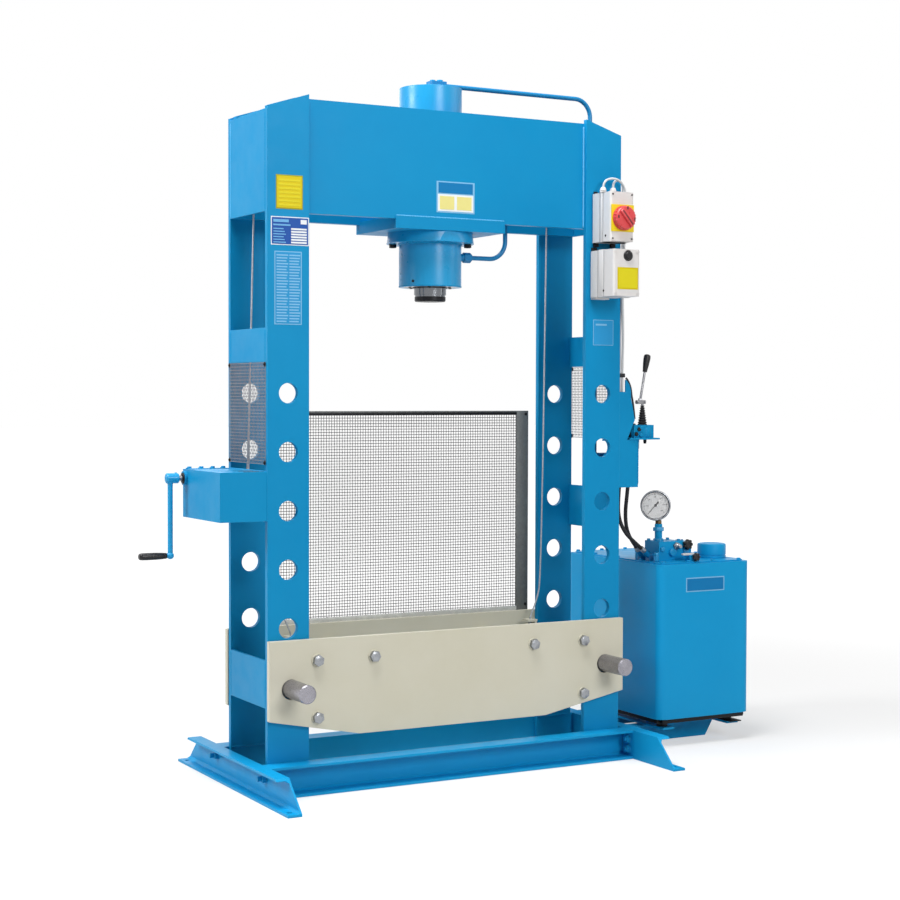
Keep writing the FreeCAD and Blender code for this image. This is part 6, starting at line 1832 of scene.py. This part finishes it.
# ------------ valve
@dataclass(frozen=True)
class LeverValve:
    """The hand valve on its bracket, with its boot and lever."""

    middle: float = -130.0
    shelf: float = 1124.0
    top: float = 1170.0
    pivot: float = 790.0
    boot_high: float = 68.0
    folds: int = 7
    yoke: Quad = (764.0, 800.0, 1244.0, 1258.0)
    rod_at: float = 780.0
    rod_foot: float = 1254.0
    lean: float = 10.6
    rod_length: float = 114.0
    handle: float = 62.0

    def build(self) -> None:
        """Dress the bracket and build the valve's body, boot and lever."""
        dress(BLUE, "valve_bracket", "valve_body")
        self.body()
        self.bracket()
        self.boot()
        self.lever()

    def body(self) -> None:
        """The round housing on the block, and the dark plugs and caps round it."""
        high = self.top - self.shelf
        front = self.middle - 28
        housing = Shape().lathe([(17.5, high - 0.6), (17.5, 0), (24, 0), (28, 4), (29, 12), (29, high - 12),
                                 (26, high - 5), (20, high - 0.4), (17.5, high - 0.6)],
                                (796, self.middle - 2, self.shelf), UP, 56)
        for z in (1134, 1160):
            housing.lathe(disc(7, 7, 5, 5.5), (self.yoke[0], front, z), FRONT)
        housing.finish("valve_housing", "frame", BLUE)
        dark = Shape()
        side, nut = 736, 7
        for z, long in ((1136, 18), (1157, 12)):
            dark.hexagon((side, self.middle, z), LEFT, 19, nut, z)
            dark.rod((side - nut, self.middle, z), (side - nut - long, self.middle, z), 7, 1.2)
        for x, z in ((744, 1138), (756, 1154.8)):
            dark.hexagon((x, front, z), FRONT, 13, 6, x)
            dark.screw((x, self.middle, self.top), UP, 4.6, 5)
        drain, drain_low = 802, 1107
        dark.rod((drain, self.middle, 1118), (drain, self.middle, drain_low), 6, 1.6)
        dark.hexagon((drain, self.middle, drain_low), DOWN, 10, 4)
        dark.finish("valve_plugs", "frame", BLACKENED)

    def bracket(self) -> None:
        """The curved top of the back plate with its rubber edging, and the stand's beads."""
        plate_back, edging = -159.2, -162
        flat = Matrix.Translation((0, plate_back, 0)) @ Matrix.Rotation(math.radians(90), 4, "X")
        crown = Shape().slab([(694, 1287), (717, 1287), (714, 1302), (708, 1316), (700, 1326), (694, 1330)],
                             5.6, flat)
        crown.weld((748, -166, 962), (748, -166, 1112), 1.8, 4)
        crown.finish("bracket_crown", "frame", BLUE)
        rim = ((735, 1192), (731, 1226), (726, 1256), (721, 1276), (719, 1296), (712, 1316), (703, 1330),
               (697, 1336))
        Shape().tube([(x, edging, z) for x, z in rim], 3.4).finish("bracket_edging", "frame", RUBBER)

    def boot(self) -> None:
        """The rubber bellows."""
        profile = [(4.9, self.boot_high - 4), (4.9, self.boot_high)]
        for i in range(self.folds, -1, -1):
            share = i / self.folds
            height = 7 + (self.boot_high - 9) * share
            width = 16.4 - 8.2 * share
            profile += [(width - 0.6, height + 2.6), (width, height + 1.2), (width - 0.8, height),
                        (width - 3.4, height - 2.4)]
        profile += [(16.6, 3.4), (17, 0.6), (14, 0), (4.9, 0), (4.9, self.boot_high - 4)]
        piece = Shape().lathe(profile, (self.pivot, self.middle, self.top), UP, 56).finish(
            "lever_bellows", None, RUBBER, ["lever_boot"])
        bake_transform(piece)

    def lever(self) -> None:
        """The lever's stem, yoke, rod and handle."""
        left, right, low, high = self.yoke
        steel = Shape()
        steel.rod((self.pivot, self.middle, 1163), (self.pivot, self.middle, low + 2), 4.5, 0.8)
        steel.block((left, self.middle - 8, low), (right, self.middle + 8, high), 2.0, 3)
        steel.hexagon((self.rod_at, self.middle, high), (0.18, 0, 1), 13, 5, 8)
        for x in (left + 4, right - 4):
            steel.rod((x, self.middle - 11, low + 7), (x, self.middle + 11, low + 7), 3, 0.6)
        up = Vector((math.sin(math.radians(self.lean)), 0, math.cos(math.radians(self.lean))))
        foot = Vector((self.rod_at, self.middle, self.rod_foot))
        steel.rod(foot, foot + up * (self.rod_length + 4), 4.5, 0.6)
        steel.finish("lever_steel", "lever", SHAFT, ["valve_lever"])
        long = self.handle
        knob = Shape().lathe([(4.6, -8), (7.4, -8), (8, -7), (8.6, 0), (11, long * 0.3), (12.6, long * 0.62),
                              (12.4, long * 0.78), (10.6, long * 0.86), (6, long * 0.9), (0, long * 0.9),
                              (0, 4), (4.6, 4), (4.6, -8)], foot + up * self.rod_length, up, 40)
        knob.finish("lever_handle", "lever", PHENOLIC)


# ------------ power pack
@dataclass(frozen=True)
class PowerPack:
    """The oil tank with its lid, block, valves and filler, on its skid."""

    left: float = 868.0
    right: float = 1276.0
    front: float = -135.0
    back: float = 480.0
    low: float = 103.0
    lid: float = 669.0
    block: Quad = (927.0, 1032.0, 45.0, 740.0)
    runner: tuple[Point, Point] = ((1195.0, -128.0, 68.2), (1245.0, 440.0, 72.0))
    stem: float = 956.0
    elbows: float = 905.0
    filler: float = 1199.0

    def build(self) -> None:
        """Dress the pack's nodes and add its bolts, fittings, knobs, cap and plate."""
        dress(BLUE_PAINTED_LIGHTER, "oil_tank", "tank_lid", "pack_skid", "oil_block", "hand_valves")
        dress(RUBBER, "rubber_mounts")
        self.tank()
        self.fittings()
        self.knob("relief_star", "relief", "relief_knob", (1055, -34.3, 726), 20, 22)
        self.knob("release_star", "release", "release_knob", (1039, -110.3, 686), 16, 18)
        self.cap()
        Label("tank_label", self.front).field((984, 561), (1156, 613), FILM_LINE).field(
            (988, 565), (1152, 609), FILM_BAND, 1)

    def tank(self) -> None:
        """The bolts round the lid, the beads round the tank's floor, and dark strips under it that paint the
        shade beneath the tank.
        """
        shape, under_shade = Shape(), Shape()
        for x in (900, 1010, 1120, 1240):
            for y in (self.front + 24, self.back - 24):
                shape.hexagon((x, y, self.lid), UP, 13, 5.5, x)
        for x in (self.left + 24, self.right - 24):
            for y in (20, 170, 320):
                shape.hexagon((x, y, self.lid), UP, 13, 5.5, y)
        x, z, bead, round_end = self.left + 2, self.low + 1, 2.4, 30
        for y in (self.front + 2, self.back - 2):
            shape.weld((self.left + round_end, y, z), (self.right - round_end, y, z), bead, 5)
        shape.weld((x, self.front + round_end, z), (x, self.back - round_end, z), bead, 6)
        shape.finish("tank_bolts", "frame", BLUE_PAINTED_LIGHTER)
        # Dark strips under the tank's edges, and a thin dark runner: painted shade beneath the tank.
        under, side = self.low - 0.3, 16
        for y in (self.front + 9, self.back - 25):
            under_shade.block((self.left + 22, y, under - side), (self.right - 22, y + side, under), 1.5)
        for x in (self.left + 8, self.right - 24):
            under_shade.block((x, self.front + 24, under - side), (x + side, self.back - 24, under), 1.5)
        under_shade.block(*self.runner, 0.6)
        under_shade.finish("tank_underside_shade", "frame", BLACKENED)

    def fittings(self) -> None:
        """Plugs, unions and cap screws on the block and the hand valves."""
        left, right, half, high = self.block
        blue, steel = Shape(), Shape()
        blue.lathe(washer(13.8, 19, 7, 17.5, 8.6), (self.stem, 0, high), UP, 40)
        blue.hexagon((self.stem, 0, 776), UP, 36, 14, 10)
        blue.lathe(disc(14, 12, 10, 12), (984, -half, 700), FRONT, 36)
        blue.hexagon((1039, -94, 692), UP, 20, 5, 5)
        blue.hexagon((1055, -34, 700), FRONT, 22, 6, 5)
        for y in (-60, 60):
            blue.rod((self.elbows, y, self.lid), (self.elbows, y, 694), 9, 2)
            blue.hexagon((self.elbows, y, 694), UP, 17, 8, 10)
        steel.hexagon((1003, -half, 722), FRONT, 24, 10, 10)
        steel.lathe([(0, 0), (10, 0), (10, 6), (7.5, 9), (7.5, 18), (6, 20), (0, 20)],
                    (1003, -half - 10, 722), FRONT, 32)
        steel.finish("block_plugs", "frame", ZINC)
        for x in (left + 10, right - 10):
            for y in (-half + 10, half - 10):
                blue.lathe(socket(6.5, 6, 5.8, 6.8, 3.4, 3), (x, y, high), UP, 24)
        for x in (1044, 1070):
            blue.lathe([(0, 0), (4.6, 0), (4.6, 4), (2.6, 4.4), (2.6, 2), (0, 2)], (x, 10, 736), UP, 20)
        blue.hexagon((941, -half, 712), FRONT, 17, 8, 0)
        blue.finish("block_unions", "frame", BLUE_TURNED)
        Shape().block((993, -104.8, 691.6), (1058.8, -91.2, 699), 1.6, 3).finish(
            "release_handle", "frame", POLYCARBONATE)

    def knob(self, name: str, body: str, node: str, at: Point, radius: float, thick: float) -> None:
        """A star knob that looks to the front.

        Args:
            name: the piece's name.
            body: the body that it turns with.
            node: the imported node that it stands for.
            at: the middle of its back.
            radius: its radius.
            thick: its thickness.
        """
        core, lobe, lobes = radius * 0.78, radius * 0.27, 7
        shape = Shape().lathe([(0, 0), (core * 0.6, 0), (core * 0.7, thick * 0.2), (core, thick * 0.3),
                               (core, thick * 0.85), (core * 0.86, thick), (core * 0.5, thick),
                               (core * 0.46, thick * 0.9), (0, thick * 0.9)], at, FRONT, 48)
        for i in range(lobes):
            dx, dz = around(radius - lobe, 360 * i / lobes)
            x, z = at[0] + dx, at[2] + dz
            shape.rod((x, at[1] - thick * 0.3, z), (x, at[1] - thick * 0.92, z), lobe, lobe * 0.4, 20)
        shape.rod((at[0], at[1] + 13, at[2]), (at[0], at[1] - 1, at[2]), 4.5, 0.4)
        shape.finish(name, body, PHENOLIC, [node])

    def cap(self) -> None:
        """The filler's cap with its grooved skirt, bored for the neck."""
        base, outer, inner = self.lid + 0.3, 53.0, 45.3
        high, deep = 722.0 - base, 684.2 - base
        profile = [(0, deep), (inner, deep), (inner, 0), (outer - 1, 0), (outer, 1), (outer, 8),
                   (outer - 1.4, 9), (outer - 1.4, 11), (outer, 12), (outer, high - 5),
                   (outer - 2, high - 1.4), (outer - 6, high), (34, high), (33, high - 1.4),
                   (0, high - 1.4)]
        Shape().lathe(profile, (self.filler, 0, base), UP, 96).finish(
            "filler_lid", "cap", BLUE_PAINTED_LIGHTER, ["filler_cap"])


@dataclass(frozen=True)
class Gauge:
    """The pressure gauge: case, rim, dial with its scale, pointer and glass."""

    back: Triple = (956.0, 21.0, 871.0)
    nut: float = 803.0
    turn: float = 34.0
    radius: float = 56.0
    thick: float = 42.0
    dial: float = 30.0
    rest: float = 140.0
    sweep: float = 270.0
    divisions: int = 60
    numbers: tuple[int, ...] = (0, 100, 200, 300, 400, 500, 600)

    def plane(self, height: float) -> Matrix:
        """A frame on the gauge's axis: X to the right, Y up and Z out of the dial.

        Args:
            height: its distance from the case's back.

        Returns:
            The frame.
        """
        out = self.out
        spot = self.ahead(height)
        return Matrix(((-out.y, 0, out.x, spot.x), (out.x, 0, out.y, spot.y), (0, 1, 0, spot.z),
                       (0, 0, 0, 1)))

    def ahead(self, height: float) -> Vector:
        """The place on the gauge's axis at a distance from the case's back."""
        return Vector(self.back) + self.out * height

    @property
    def out(self) -> Vector:
        """The way that the dial looks."""
        angle = math.radians(self.turn)
        return Vector((-math.sin(angle), -math.cos(angle), 0))

    def bearing(self, share: float) -> float:
        """The angle of a place on the scale, in radians left of the top."""
        return math.radians(self.rest - self.sweep * share)

    def build(self) -> None:
        """Build the gauge from its case to its glass."""
        radius, dial, thick, stem = self.radius, self.dial, self.thick, self.back[0]
        rim, steps = radius - 7, 96
        case = Shape().lathe([(0, 0), (radius - 4, 0), (radius - 2, 2), (radius - 1.4, 8),
                              (radius - 1.4, dial), (rim, dial), (rim, dial - 1), (0, dial - 1)],
                             self.back, self.out, steps)
        case.lathe(disc(7, 16), (stem, 0, self.nut - 1), UP, 32)
        case.finish("gauge_case", "frame", GALVANISED, ["pressure_gauge"])
        bezel = Shape().lathe([(rim - 0.6, dial - 2), (radius - 0.6, dial - 2), (radius, dial),
                               (radius, thick - 3), (radius - 1.6, thick - 0.6), (radius - 4, thick),
                               (rim + 0.4, thick - 2.4), (rim - 0.6, thick - 5), (rim - 0.6, dial - 2)],
                              self.back, self.out, steps)
        bezel.finish("gauge_bezel", "frame", BEZEL)
        face = Shape().lathe(disc(rim, 0.5), self.ahead(dial - 1), self.out, steps)
        face.finish("gauge_face", "frame", DIAL)
        self.scale(rim)
        self.pointer()
        glass = Shape().lathe([(0, 0), (rim - 0.8, 0), (rim - 0.8, 1.6), (0, 1.9)], self.ahead(thick - 5.4),
                              self.out, steps)
        glass.finish("gauge_glass", "frame", GLASS)
        nut = Shape().hexagon((stem, 0, self.nut), UP, 22, 12, 20)
        nut.lathe(disc(8.6, 4), (stem, 0, self.nut + 12), UP, 32)
        nut.finish("gauge_nut", "frame", BRASS)

    def scale(self, rim: float) -> None:
        """The scale's ticks and its numbers.

        Args:
            rim: the radius inside the bezel.
        """
        shape = Shape()
        flat = self.plane(self.dial - 0.5)
        outer, reach = rim - 5, rim - 18
        for i in range(self.divisions + 1):
            inner, half = (rim - 12, 0.7) if i % 10 == 0 else (rim - 8.6, 0.3)
            place = flat @ Matrix.Rotation(self.bearing(i / self.divisions), 4, "Z")
            shape.slab([(-half, inner), (half, inner), (half, outer), (-half, outer)], 0.2, place)
        for number in self.numbers:
            angle = self.bearing(number / self.numbers[-1])
            spot = Matrix.Translation((-reach * math.sin(angle), reach * math.cos(angle), 0.1))
            shape.digits(str(number), 4.6, flat @ spot)
        shape.finish("gauge_scale", "frame", INK)

    def pointer(self) -> None:
        """The pointer with its boss, at rest on zero."""
        place = self.plane(self.dial + 0.4) @ Matrix.Rotation(math.radians(self.rest), 4, "Z")
        side = [(0.5, 39), (1.5, 2), (2.6, -4), (2.8, -18)]
        shape = Shape().slab([(-x, y) for x, y in side] + side[::-1], 1.2, place, 0.15)
        shape.lathe([(0, 0), (5, 0), (5, 1.4), (3.6, 2.4), (0, 2.8)], self.ahead(self.dial + 0.3), self.out,
                    32)
        shape.finish("gauge_pointer", "needle_body", INK, ["gauge_needle"])


def main() -> None:
    """Build the press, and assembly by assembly."""
    Studio().build()
    for assembly in (Wiring(), RopeDrive(), PressFrame(), Cylinder(), Bed(), Guards(), Winch(),
                     ElectricBoxes(), LeverValve(), PowerPack(), Gauge()):
        log.info("-- %s", type(assembly).__name__)
        assembly.build()


if __name__ == "__main__":
    main()
